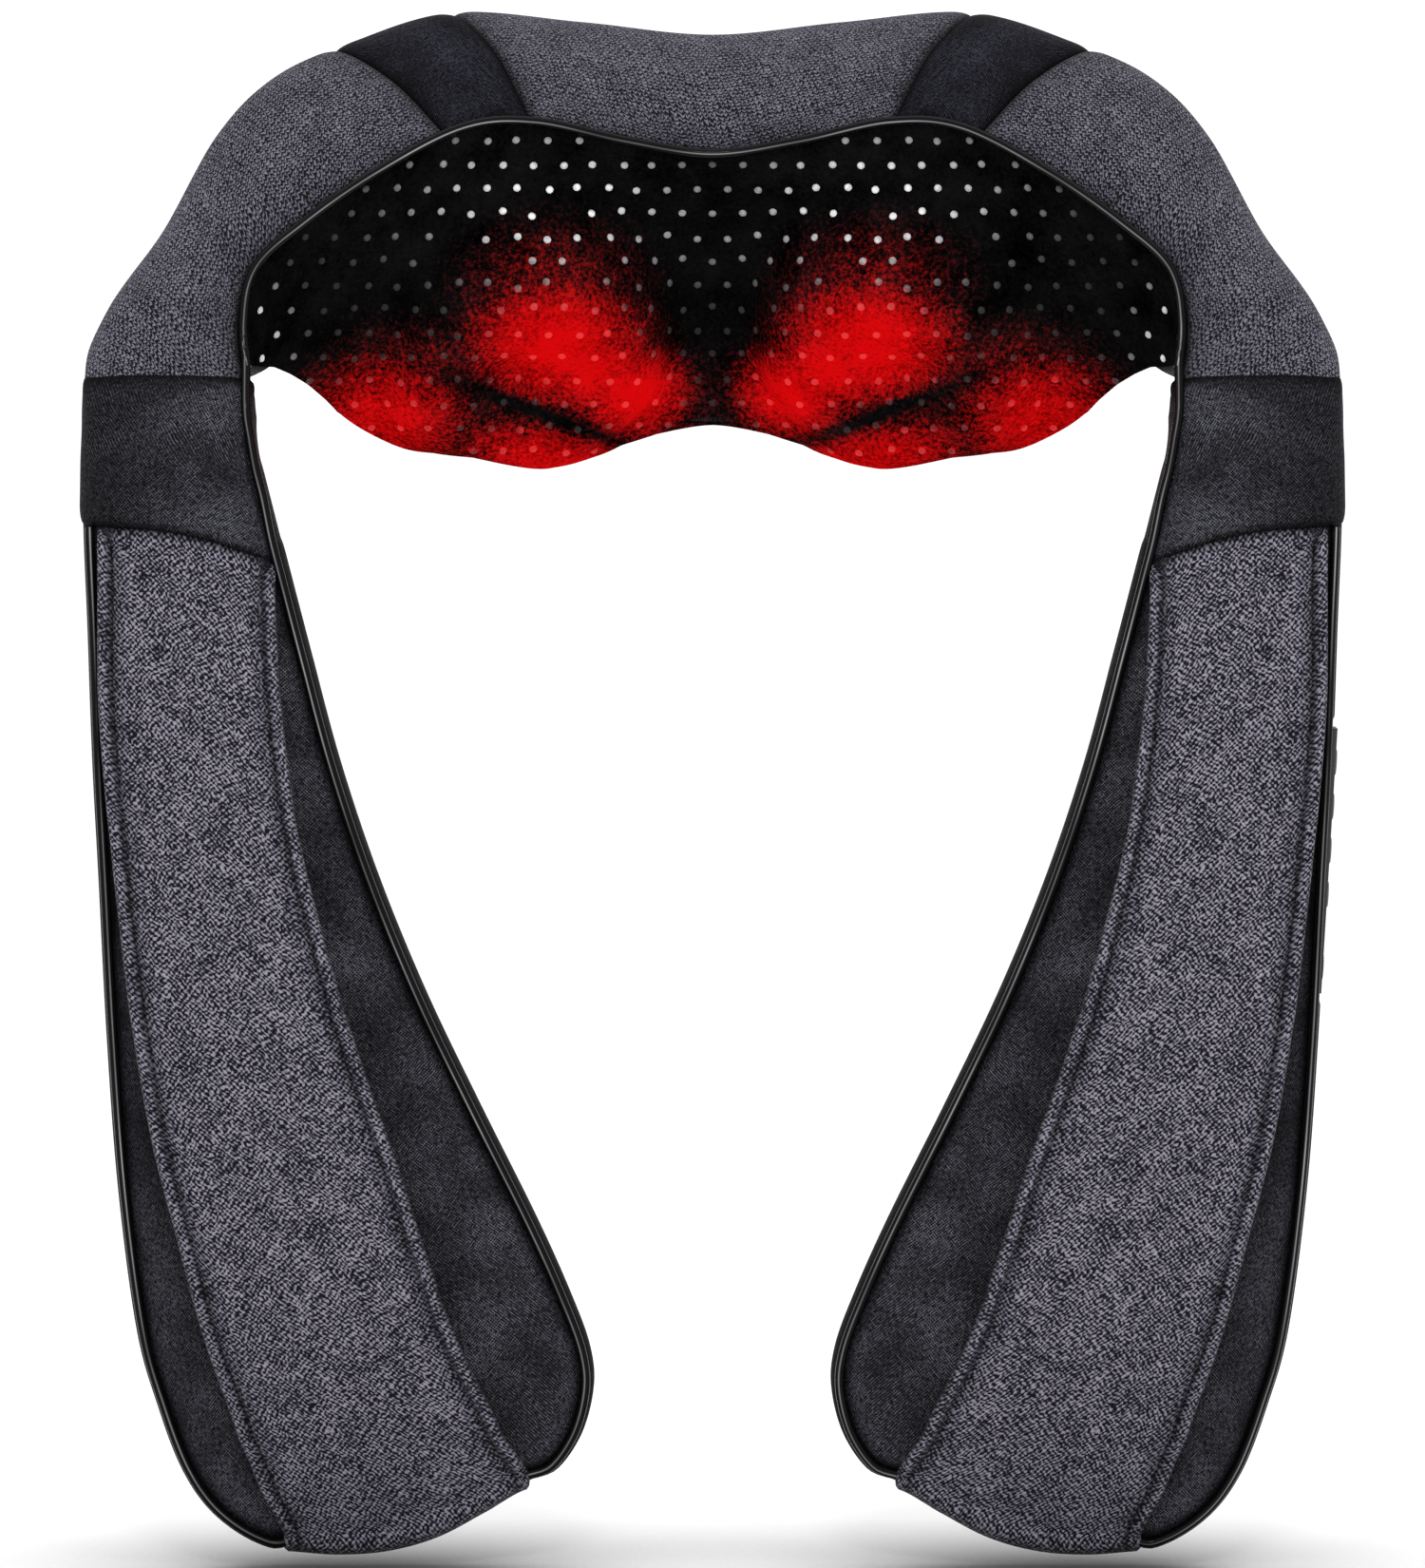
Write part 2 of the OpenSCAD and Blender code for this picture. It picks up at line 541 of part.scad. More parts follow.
// The hand loop lies along the strap's front, arches off it for the hand, and turns under the tip
loop_cols = len(loop_bottom) - 1;
loop_arch = 0.94;            // share of its length over which it stands off the strap
loop_back = 24;              // how far it reaches up the strap's back
tip_z = -372;                // height where the strap's thickness at the tip is taken
function loop_point(share, q, out) =
    let (
        end = along(loop_bottom, q * loop_cols),
        z = loop_rows[0][0] + (end - loop_rows[0][0]) * share,
        edges = [for (i = [1, 2]) lookup(z, [for (row = loop_rows) [row[0], row[i]]])],
        y = front_y(z) - 0.6 - strap_crown - loop_gap * pow(sin(180 * min(share / loop_arch, 1)), 0.8)
    )
    [edges[0] + (edges[1] - edges[0]) * q, y - out, z];
function by_height(z, i) = lookup(z, [for (row = strap_rows) [row[0], row[i]]]);
function front_y(z) = by_height(z, 3) - by_height(z, 4) * strap_thickness / 2;
function back_y(z) = by_height(z, 3) + by_height(z, 4) * strap_thickness / 2 + skin_gap + 1.7;
function loop_column_end(q, step, out) =
    let (p = loop_point(1, q, 0), back = back_y(tip_z))
    step == 0 ? [p.x, p.y - out, p.z - 2 - out]
    : step == 1 ? [p.x, back + out, p.z - 2 - out]
    : [p.x, back + out, p.z + loop_back];
function loop_sheet(out) = concat(
    [for (share = steps(0, loop_arch, 16)) [for (k = [0:loop_cols]) loop_point(share, k / loop_cols, out)]],
    [for (step = [0:2]) [for (k = [0:loop_cols]) loop_column_end(k / loop_cols, step, out)]]
);
module hand_loop() color("dimgray") slab(loop_sheet(loop_t), loop_sheet(0));

// ---- the controls, in the outer side of the right strap ----
panel_l = 84;
panel_w = 13;
panel_depth = 15;
wall = 1.5;
panel_lean = 3.3;
inlet_z = -34;
button_zs = [for (k = [0:3]) 31 - button_pitch * k];
button_gap = 0.25;
button_in = 4.4;             // from the panel's face to the back of a button
button_flange = 0.7;
inlet_r = 4.9;
inlet_neck_r = 4.05;
inlet_bore_r = 2.85;
module in_panel() translate([194.9, -54, panel_z]) rotate([0, panel_lean, 0]) children();
module panel_block(grow) translate([-panel_depth - grow, -panel_w / 2 - grow, -panel_l / 2 - grow])
    cube([panel_depth + 2 * grow, panel_w + 2 * grow, panel_l + 2 * grow]);
module control_panel() color("black") in_panel() difference() {
    panel_block(0);
    translate([-panel_depth + wall, -panel_w / 2 + wall, -panel_l / 2 + wall])
        cube([panel_depth - 2 * wall, panel_w - 2 * wall, panel_l - 2 * wall]);
    for (z = button_zs) translate([-wall - 1, 0, z]) rotate([0, 90, 0])
        cylinder(r = button_r + button_gap, h = wall + 2, $fn = 32);
    translate([-wall - 1, 0, inlet_z]) rotate([0, 90, 0])
        cylinder(r = inlet_neck_r + running_gap, h = wall + 2, $fn = 32);
    translate([-panel_depth - 1, 0, 30]) rotate([0, 90, 0]) cylinder(r = 2, h = wall + 2, $fn = 24);
}
module control_board() color("darkgreen") in_panel() {
    translate([-8.4, -4.6, -22]) cube([1.2, 9.2, 60]);
    for (z = button_zs) translate([-7.2, -2.5, z - 2.5]) cube([1.6, 5, 5]);
}
module power_inlet() color("black") in_panel() translate([0, 0, inlet_z]) rotate([0, 90, 0]) {
    difference() {
        union() {
            translate([0, 0, -12.5]) cylinder(r = inlet_r, h = 12.5 - wall, $fn = 32);
            translate([0, 0, -wall]) cylinder(r = inlet_neck_r, h = wall + 0.4, $fn = 32);
        }
        translate([0, 0, -10.5]) cylinder(r = inlet_bore_r, h = 14, $fn = 32);
    }
    translate([0, 0, -10.6]) cylinder(r = inlet_pin_r, h = 9.6, $fn = 32);
}
// A button has a flange behind the panel and stands a little proud of it
module panel_button(k) color("dimgray") in_panel() translate([0, 0, button_zs[k]]) rotate([0, 90, 0]) {
    translate([0, 0, -button_in]) cylinder(r = button_r, h = button_in + 0.6, $fn = 32);
    translate([0, 0, -button_in]) cylinder(r = button_r + button_flange, h = 1.6, $fn = 32);
}
cable_from = [171, -51, -56];
cable_to = [178, -54, -140];
module along_cable(r, extra) {
    d = cable_to - cable_from;
    translate(cable_from) rotate([0, acos(d.z / norm(d)), atan2(d.y, d.x)])
        translate([0, 0, -extra]) cylinder(r = r, h = norm(d) + 2 * extra, $fn = 24);
}
module strap_cable() color("black") along_cable(wire_r, 0);
module panel_pocket() in_panel() panel_block(0.3);

// ---- every node by name ----
for (side = ["right", "left"]) on_side(side) {
    collar_strip();
    shoulder_cover();
    shoulder_patch();
    in_drive() gearbox_housing();
    in_drive() gearbox_cover();
    in_drive() motor();
    in_drive() output_bushes();
    in_drive() lamp_board();
    in_drive() worm_wheel();
    in_drive() output_shaft();
    in_drive() node_plate();
    in_drive() tall_nodes();
    in_drive() short_nodes();
    in_drive() worm();
    in_drive() motor_shaft();
    strap_cuff();
    strap_front();
    strap_piping();
    hand_loop();
}
collar_cover();
massage_cover();
collar_piping();
collar_foam();
both_sides() shoulder_foam();  // shoulder_foams
back_shell();
drive_frame();
wiring_harness();
gearbox_screws();
on_side("left") strap_back();  // left_strap_back
difference() {  // right_strap_back
    strap_back();
    panel_pocket();
}
on_side("left") strap_foam();  // left_strap_foam
difference() {  // right_strap_foam
    strap_foam();
    panel_pocket();
    along_cable(wire_r + 0.6, 12);
}
control_panel();
control_board();
power_inlet();
strap_cable();
panel_button(0);  // power_button
panel_button(1);  // heat_button
panel_button(2);  // direction_button
panel_button(3);  // speed_button
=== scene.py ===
import math

import bmesh
import bpy
import numpy as np
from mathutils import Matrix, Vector


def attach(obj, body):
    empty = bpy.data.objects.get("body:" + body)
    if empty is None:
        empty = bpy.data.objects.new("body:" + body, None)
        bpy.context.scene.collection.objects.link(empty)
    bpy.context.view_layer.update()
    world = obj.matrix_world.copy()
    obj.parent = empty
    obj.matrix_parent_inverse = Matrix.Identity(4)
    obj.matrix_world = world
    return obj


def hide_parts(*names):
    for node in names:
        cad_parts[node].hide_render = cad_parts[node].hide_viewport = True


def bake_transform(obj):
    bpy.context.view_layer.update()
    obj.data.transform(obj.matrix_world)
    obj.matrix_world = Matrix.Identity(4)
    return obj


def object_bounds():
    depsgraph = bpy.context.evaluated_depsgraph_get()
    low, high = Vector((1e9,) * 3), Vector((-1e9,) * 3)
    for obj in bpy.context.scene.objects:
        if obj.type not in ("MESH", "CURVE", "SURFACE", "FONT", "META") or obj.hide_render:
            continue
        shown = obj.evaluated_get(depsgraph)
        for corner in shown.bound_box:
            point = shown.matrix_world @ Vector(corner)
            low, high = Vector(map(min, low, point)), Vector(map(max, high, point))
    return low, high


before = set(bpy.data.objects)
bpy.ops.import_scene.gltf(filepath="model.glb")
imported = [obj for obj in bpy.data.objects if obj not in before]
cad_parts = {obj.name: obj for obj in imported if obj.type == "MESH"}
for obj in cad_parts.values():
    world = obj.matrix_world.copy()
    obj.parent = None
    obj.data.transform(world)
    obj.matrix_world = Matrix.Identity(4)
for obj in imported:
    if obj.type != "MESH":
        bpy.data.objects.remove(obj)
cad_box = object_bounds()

# Lengths here are in millimetres, in the frame of the part: X across, Y back from the neck, Z up.
# Meshes are scaled to metres as they are made.
MM = 0.001
PIPING_R = 1.5
SIDES = {"left": -1, "right": 1}

# ---- the collar's sections, from its middle to the top of the right strap. Each goes once round:
# piping, face, top, upper back, back, lower back, bottom, massage side ----
COLLAR = [
    [[0, -2, 51], [0, 14, 77], [0, 38, 90], [0, 68, 76], [0, 86, 36], [0, 86, -10], [0, 58, -38], [0, 34, 8]],
    [[28, -4, 55], [34, 13, 81], [42, 36, 94], [40, 67, 79], [38, 88, 38], [34, 88, -12], [28, 60, -45],
     [28, 28, 6]],
    [[57, -10, 61], [70, 8, 85], [84, 30, 97], [82, 62, 82], [78, 84, 40], [70, 86, -12], [58, 63, -53],
     [57, 22, 5]],
    [[80, -18, 59], [98, -2, 78], [117, 18, 87], [116, 50, 70], [112, 70, 32], [106, 72, -14], [90, 50, -49],
     [84, 13, 4]],
    [[107, -28, 45], [124, -17, 62], [141, 2, 75.5], [143, 34, 56], [140, 50, 22], [130, 48, -18],
     [114, 26, -38], [110, -2, 1]],
    [[130, -36, 29], [145, -30, 43], [158, -14, 57], [162, 14, 37], [158, 26, 8], [146, 24, -18],
     [131, 6, -24], [131, -14, 1]],
    [[145, -44, 15], [160, -43, 24], [173, -30, 28], [178, -6, 16], [172, 6, -6], [156, 4, -22],
     [143, -12, -19], [144, -28, -2]],
    [[149, -52, -2], [170, -57, 3], [188, -46, 5], [192, -24, -4], [178, -14, -16], [158, -16, -24],
     [147, -32, -18], [148, -42, -9]],
    [[147, -60, -21], [173, -65, -19], [197, -57, -20], [198, -40, -21], [174, -34, -24], [151, -37, -26],
     [146, -44, -24], [146, -52, -22]],
    [[143, -62, -40], [171, -66, -40], [197, -60, -40], [198, -42, -40], [172, -36, -40], [147, -39, -40],
     [143, -45, -40], [142, -54, -40]],
]
COLLAR_END = len(COLLAR) - 1
# Stations between which the black strip and the shoulder panel run, and the section's corner at the bottom
STRIP_FROM, STRIP_TO, SHOULDER_TO = 2, 3.18, 8.3
BOTTOM = 6

# The right strap's outline as seen from the front, from the top of its inner edge round the tip to the top of
# its outer edge
OUTLINE = [
    [146, -20], [142.5, -45], [136.5, -69], [127.2, -105], [117.6, -141], [105.6, -177], [90.9, -213],
    [73.8, -249], [56, -285], [45.3, -309], [38.8, -327], [37.8, -341], [42.5, -357], [53, -369.5],
    [74, -380.5], [102, -389.5], [126, -393.5], [143, -391], [158, -381.5], [168.5, -367], [176.7, -345],
    [183, -321], [188.6, -276], [191.9, -228], [194.4, -177], [196.2, -141], [197.6, -100], [199, -60],
    [198.3, -20],
]
# Height, middle depth and full thickness down the strap
STRAP_DEPTH = [[-20, -50, 27], [-70, -51, 27], [-129, -53, 26.2], [-177, -54, 25], [-225, -55, 24.3],
               [-273, -54, 23.2], [-309, -53, 22.1], [-350, -51, 20], [-375, -50, 17], [-395, -50, 13]]
# Height, inner edge and outer edge of the right hand loop
LOOP_EDGES = [[-60, 139, 194], [-81, 138, 193.5], [-117, 136, 193.2], [-141, 133, 191.4], [-165, 129, 188.8],
              [-201, 120, 184.8], [-225, 112.5, 181.5], [-261, 100.5, 175.5], [-291, 91, 168],
              [-321, 81, 160.5], [-354, 66, 150], [-372, 56, 143], [-384, 54, 137], [-397, 53, 133]]
LOOP_BOTTOM = [-371.4, -379.0, -387.0, -391.4, -392.6, -391.5]


# ---- curves and surfaces ----
def along(rows, u):
    """The smooth curve through rows, at each u from 0 to the last row."""
    rows = np.asarray(rows, float)
    u = np.asarray(u, float)
    last = len(rows) - 1
    i = np.clip(np.floor(u).astype(int), 0, last - 1)
    t = (u - i).reshape(u.shape + (1,) * (rows.ndim - 1))
    a, b = rows[np.maximum(i - 1, 0)], rows[i]
    c, d = rows[i + 1], rows[np.minimum(i + 2, last)]
    return 0.5 * (2 * b + (c - a) * t + (2 * a - 5 * b + 4 * c - d) * t**2 + (3 * b - a - 3 * c + d) * t**3)


def at_height(rows, z, column):
    """A column of rows whose first column is the height, read off smoothly at each height z."""
    rows = np.asarray(rows, float)[::-1]
    u = np.interp(z, rows[:, 0], np.arange(len(rows)))
    return along(rows[:, column], u)


def ease(t):
    t = np.clip(t, 0, 1)
    return t * t * (3 - 2 * t)


def dense_ends(low, high, n):
    """n + 1 numbers from low to high, closer together near both ends."""
    return low + (high - low) * (1 - np.cos(np.pi * np.arange(n + 1) / n)) / 2


def unit(v):
    return v / np.maximum(np.linalg.norm(v, axis=-1, keepdims=True), 1e-9)


def grid_normals(p, away_from):
    """Unit normals of a grid of points, pointing away from the points away_from."""
    n = unit(np.cross(np.gradient(p, axis=0), np.gradient(p, axis=1)))
    facing = np.sign(((p - away_from) * n).sum(-1, keepdims=True).mean())
    return n * facing


def run_length(p, axis):
    """How far each point is from the first one along the grid, in millimetres."""
    run = np.cumsum(np.linalg.norm(np.diff(p, axis=axis), axis=-1), axis=axis)
    return np.concatenate([np.zeros_like(np.take(run, [0], axis=axis)), run], axis=axis)


def edge_distance(p, wanted):
    """How far each grid point is from the nearest wanted edge: first row, last row, first and last column."""
    rows, cols = run_length(p, 0), run_length(p, 1)
    gaps = (rows, rows[-1:] - rows, cols, cols[:, -1:] - cols)
    return np.minimum.reduce([gap for gap, use in zip(gaps, wanted) if use])


def sections():
    right = np.array(COLLAR, float)
    left = right[:0:-1] * [-1, 1, 1]
    return np.concatenate([left, right])


def collar_points(s, v):
    """The collar's outer surface and its centres, at stations s and corners v from piping to bottom."""
    rings = along(sections(), np.asarray(s, float) + COLLAR_END)
    centres = rings.mean(axis=1)
    p = along(rings[:, :BOTTOM + 1].transpose(1, 0, 2), v).transpose(1, 0, 2)
    return p, np.broadcast_to(centres[:, None], p.shape)


def face_points(s, w):
    """The massage side at rest, without its drives, w from the bottom at 0 to the piping at 2."""
    rings = along(sections(), np.asarray(s, float) + COLLAR_END)
    three = np.stack([rings[:, BOTTOM], rings[:, 7], rings[:, 0]])
    return along(three, w).transpose(1, 0, 2)


# ---- meshes ----
def faces_between(rows, cols, wrap=False):
    i, j = np.meshgrid(np.arange(rows - 1), np.arange(cols if wrap else cols - 1), indexing="ij")
    k = (j + 1) % cols
    return np.stack([i * cols + j, i * cols + k, (i + 1) * cols + k, (i + 1) * cols + j], -1).reshape(-1, 4)


def make_mesh(name, points, faces, material, body, uv=None, shade=None):
    """A smooth-shaded object from points in millimetres, riding on a CAD body if one is named. shade is
    painted
    shade: how much of its colour shows at each point, little where cloth lies deep in a seam."""
    mesh = bpy.data.meshes.new(name)
    faces = faces if isinstance(faces, list) else np.asarray(faces).tolist()
    mesh.from_pydata((np.asarray(points) * MM).tolist(), [], faces)
    if uv is not None:
        layer = mesh.uv_layers.new(name="cloth")
        corners = np.zeros(len(mesh.loops), int)
        mesh.loops.foreach_get("vertex_index", corners)
        layer.data.foreach_set("uv", (np.asarray(uv)[corners] * MM).ravel())
    values = np.ones(len(points)) if shade is None else np.asarray(shade, float)
    mesh.attributes.new("shade", "FLOAT", "POINT").data.foreach_set("value", values.astype(np.float32))
    mesh.materials.append(material)
    mesh.polygons.foreach_set("use_smooth", [True] * len(mesh.polygons))
    obj = bpy.data.objects.new(name, mesh)
    bpy.context.scene.collection.objects.link(obj)
    if body:
        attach(obj, body)
    return obj


# Painted shade: how much colour shows at a distance from a seam, darker close to it.
def seam_shade(distance, reach=2.2, depth=0.8):
    return 1 - depth * np.exp(-(distance / reach) ** 2)


def shell(name, outer, inner, material, body, uv, shade=None):
    """A closed skin between two grids of points: outer, with the cloth's own coordinates uv, and inner."""
    rows, cols = outer.shape[:2]
    shade = np.ones((rows, cols)) if shade is None else shade
    i, j = rows // 2, cols // 2
    across, down = outer[i, j + 1] - outer[i, j], outer[i + 1, j] - outer[i, j]
    if (np.cross(down, across) * (outer - inner)[i, j]).sum() < 0:
        outer, inner, uv, shade = outer[::-1], inner[::-1], uv[::-1], shade[::-1]
    top = faces_between(rows, cols)[:, ::-1]
    under = faces_between(rows, cols) + rows * cols
    index = np.arange(rows * cols).reshape(rows, cols)
    loop = np.concatenate([index[0, :-1], index[:-1, -1], index[-1, :0:-1], index[:0:-1, 0]])
    after = np.roll(loop, -1)
    rim = np.stack([loop, after, after + rows * cols, loop + rows * cols], -1)
    points = np.concatenate([outer.reshape(-1, 3), inner.reshape(-1, 3)])
    flat = np.concatenate([uv.reshape(-1, 2)] * 2)
    shades = np.concatenate([shade.reshape(-1)] * 2)
    return make_mesh(name, points, np.concatenate([top, under, rim]), material, body, flat, shades)


def cloth_uv(p, across=1, down=0):
    """Cloth coordinates in millimetres: how far each point lies along the grid both ways."""
    u, v = run_length(p, across), run_length(p, down)
    middle = p.shape[1] // 2
    return np.stack([u - u[:, middle:middle + 1], v], -1)


def pillow(distance, radius, depth):
    """How far a sewn panel dips towards its edges: depth at the seam, nothing beyond the radius."""
    t = np.clip(distance / radius, 0, 1)
    return depth * (1 - np.sqrt(1 - (1 - t) ** 2))


def tube(name, line, radius, material, body, sides=14):
    """A round cord with closed ends, along a line of points in millimetres."""
    line = np.asarray(line, float)
    tangent = unit(np.gradient(line, axis=0))
    side = unit(np.cross(tangent, [0.03, 1.0, 0.05]))
    up = np.cross(tangent, side)
    turn = 2 * np.pi * np.arange(sides) / sides
    ring = np.cos(turn)[None, :, None] * side[:, None] + np.sin(turn)[None, :, None] * up[:, None]
    points = (line[:, None] + radius * ring).reshape(-1, 3)
    faces = faces_between(len(line), sides, wrap=True).tolist()
    first, last_ring = len(points), (len(line) - 1) * sides
    points = np.concatenate([points, [line[0], line[-1]]])
    for k in range(sides):
        after = (k + 1) % sides
        faces += [[first, after, k], [first + 1, last_ring + k, last_ring + after]]
    run = run_length(line, 0)
    uv = np.stack([np.tile(turn * radius, len(line)), np.repeat(run, sides)], -1)
    uv = np.concatenate([uv, [[0, 0], [0, run[-1]]]])
    return make_mesh(name, points, faces, material, body, uv)


# ---- materials ----
class Nodes:
    """A short way to write a material's nodes."""

    def __init__(self, name):
        self.material = bpy.data.materials.new(name)
        self.material.use_nodes = True
        self.tree = self.material.node_tree
        self.shader = self.tree.nodes["Principled BSDF"]

    def add(self, kind, inputs=None, **settings):
        node = self.tree.nodes.new("ShaderNode" + kind)
        for key, value in settings.items():
            setattr(node, key, value)
        for key, value in (inputs or {}).items():
            self.put(node.inputs[key], value)
        return node

    def put(self, socket, value):
        if isinstance(value, bpy.types.NodeSocket):
            self.tree.links.new(value, socket)
        else:
            socket.default_value = value

    def math(self, operation, a, b=0.0, c=0.0, clamp=False):
        node = self.add("Math", operation=operation, use_clamp=clamp)
        for socket, value in zip(node.inputs, (a, b, c)):
            self.put(socket, value)
        return node.outputs[0]

    def times(self, a, b, clamp=False):
        return self.math("MULTIPLY", a, b, clamp=clamp)

    def plus(self, a, b, clamp=False):
        return self.math("ADD", a, b, clamp=clamp)

    def minus(self, a, b, clamp=False):
        return self.math("SUBTRACT", a, b, clamp=clamp)

    def vector(self, operation, a, b=(0, 0, 0)):
        node = self.add("VectorMath", operation=operation)
        self.put(node.inputs[0], a)
        if operation == "SCALE":
            self.put(node.inputs["Scale"], b)
        else:
            self.put(node.inputs[1], b)
        return node.outputs["Vector"]

    def ramp(self, value, stops):
        node = self.add("ValToRGB")
        self.put(node.inputs[0], value)
        points = node.color_ramp.elements
        while len(points) < len(stops):
            points.new(0.5)
        for point, (place, colour) in zip(points, stops):
            point.position = place
            point.color = (*colour, 1)
        return node.outputs[0]

    def mix(self, share, a, b, blend="MIX"):
        node = self.add("Mix", data_type="RGBA", blend_type=blend)
        self.put(node.inputs[0], share)
        self.put(node.inputs[6], a if isinstance(a, bpy.types.NodeSocket) else (*a, 1))
        self.put(node.inputs[7], b if isinstance(b, bpy.types.NodeSocket) else (*b, 1))
        return node.outputs[2]

    def noise(self, vector, scale, detail=2.0, roughness=0.5):
        inputs = {"Vector": vector, "Scale": scale, "Detail": detail, "Roughness": roughness}
        return self.add("TexNoise", inputs).outputs[0]

    def bump(self, height, distance, strength=1.0, normal=None):
        node = self.add("Bump", {"Height": height, "Distance": distance, "Strength": strength})
        if normal is not None:
            self.put(node.inputs["Normal"], normal)
        return node.outputs[0]

    def finish(self, **sockets):
        for key, value in sockets.items():
            name = key.replace("_", " ")
            if isinstance(value, tuple):
                value = (*value, 1) if len(value) == 3 else value
            self.put(self.shader.inputs[name], value)
        return self.material


def woven_cloth(name, pitch, shade=1.0, contrast=1.0, knit=False, blue=1.0):
    """Heathered grey cloth: pale loops of yarn pitch metres apart over a dark ground, in staggered rows, or
    as slanting stitches in columns."""
    m = Nodes(name)
    uv = m.add("UVMap", uv_map="cloth").outputs[0]
    turned = m.add("Mapping", {"Vector": uv, "Scale": (1 / pitch, 1 / pitch, 1)})
    warp = m.add("TexNoise", {"Vector": turned.outputs[0], "Scale": 0.16, "Detail": 1.0})
    offset = m.vector("SCALE", m.vector("SUBTRACT", warp.outputs[1], (0.5, 0.5, 0.5)), 2.4)
    ripple = m.add("TexNoise", {"Vector": turned.outputs[0], "Scale": 0.75, "Detail": 1.0})
    small = m.vector("SCALE", m.vector("SUBTRACT", ripple.outputs[1], (0.5, 0.5, 0.5)), 1.0)
    place = m.vector("ADD", m.vector("ADD", turned.outputs[0], offset), small)
    flat = m.add("SeparateXYZ", {"Vector": place})
    join = m.noise(place, 1.15, 2.0, 0.55)
    if knit:
        column = m.math("PINGPONG", flat.outputs[1], 0.5)
        rise = m.plus(m.times(flat.outputs[0], 1.15), m.times(column, 1.3))
        stitch = m.math("SINE", m.times(rise, 2 * math.pi))
        groove = m.math("EXPONENT", m.times(m.times(column, column), -90.0))
        height = m.math("MULTIPLY_ADD", stitch, 0.24, 0.56)
        height = m.minus(height, m.times(groove, 0.34))
        height = m.plus(height, m.times(m.minus(join, 0.5), 1.0), clamp=True)
    else:
        half_turn = math.pi * math.sqrt(2)
        x = m.math("COSINE", m.times(flat.outputs[0], half_turn))
        y = m.math("COSINE", m.times(flat.outputs[1], half_turn))
        height = m.math("MULTIPLY_ADD", m.times(x, y), 0.30, 0.5)
        height = m.plus(height, m.times(m.minus(join, 0.5), 1.25), clamp=True)
    fleck = m.noise(uv, 1 / (pitch * 9), 3.0, 0.6)
    fine = m.noise(uv, 1 / (pitch * 0.1), 2.0, 0.6)
    lit = m.times(height, m.math("MULTIPLY_ADD", fleck, 0.6, 0.70))
    lit = m.plus(lit, m.times(m.minus(fine, 0.5), 0.42), clamp=True)
    lit = m.plus(m.times(m.minus(lit, 0.5), contrast), 0.5, clamp=True)
    tones = ((0.003, 0.0025, 0.006), (0.030, 0.027, 0.039 * blue), (0.115, 0.106, 0.138 * blue),
             (0.40, 0.38, 0.43 * blue))
    dark, low, mid, high = [tuple(c * shade for c in tone) for tone in tones]
    colour = m.ramp(lit, [(0.26, dark), (0.42, low), (0.58, mid), (0.86, high)])
    # Painted shade: where the shade attribute is low the colour goes to a quarter of the dark tone, in seams
    # and under neighbouring pieces.
    seam = m.add("Attribute", attribute_name="shade").outputs["Fac"]
    colour = m.mix(seam, tuple(0.25 * c for c in dark), colour)
    bump = m.bump(height, pitch * 0.33, 0.9)
    return m.finish(Base_Color=colour, Roughness=0.9, Normal=bump, Sheen_Weight=0.04, Sheen_Roughness=0.6,
                    Specular_IOR_Level=0.10)


def coated_cloth(name, base=(0.0056, 0.0056, 0.0068), rough=0.6):
    """Black coated cloth with a fine cross-hatch grain; its ridges are painted paler, a painted sheen."""
    m = Nodes(name)
    uv = m.add("UVMap", uv_map="cloth").outputs[0]
    height = None
    for angle, pitch, seed in ((0.85, 0.00075, 0.0), (-0.72, 0.0008, 3.7)):
        turned = m.add("Mapping", {"Vector": uv, "Rotation": (0, 0, angle), "Location": (seed, 0, 0)})
        sway = m.noise(turned.outputs[0], 220, 2.0, 0.5)
        across = m.add("SeparateXYZ", {"Vector": turned.outputs[0]}).outputs[0]
        phase = m.plus(m.times(across, 2 * math.pi / pitch), m.times(sway, 5.0))
        ridge = m.math("POWER", m.math("MULTIPLY_ADD", m.math("SINE", phase), 0.5, 0.5), 1.6)
        stretched = m.add("Mapping", {"Vector": turned.outputs[0], "Scale": (1, 0.4, 1)})
        broken = m.noise(stretched.outputs[0], 1500, 2.0, 0.7)
        broken = m.times(m.minus(broken, 0.34), 3.0, clamp=True)
        region = m.noise(turned.outputs[0], 45, 2.0, 0.5)
        line = m.times(m.times(ridge, broken), m.math("MULTIPLY_ADD", region, 1.6, 0.1))
        height = line if height is None else m.math("MAXIMUM", height, line)
    broad = m.noise(uv, 34, 3.0, 0.55)
    fleck = m.noise(uv, 2600, 1.0, 0.5)
    # Grain and painted sheen: the grain's ridges are painted pale in place of their gloss, more in some
    # regions.
    grain_and_painted_sheen = m.times(height, m.math("MULTIPLY_ADD", broad, 1.3, 0.15))
    colour = m.ramp(grain_and_painted_sheen, [(0.05, tuple(c * 0.4 for c in base)), (0.3, tuple(c * 5 for c in base)),
                           (0.8, tuple(c * 26 for c in base))])
    # Painted shade: near black where the shade attribute is low, at seams and on the strap's side walls.
    seam = m.add("Attribute", attribute_name="shade").outputs["Fac"]
    colour = m.mix(seam, (0.001, 0.001, 0.0012), colour)
    rough_here = m.math("MULTIPLY_ADD", broad, 0.16, rough - 0.08)
    rough_here = m.plus(rough_here, m.times(m.minus(fleck, 0.5), 0.10))
    bump = m.bump(height, 0.00020, 0.7, m.bump(broad, 0.0006, 0.2))
    return m.finish(Base_Color=colour, Roughness=rough_here, Normal=bump, Specular_IOR_Level=0.025)


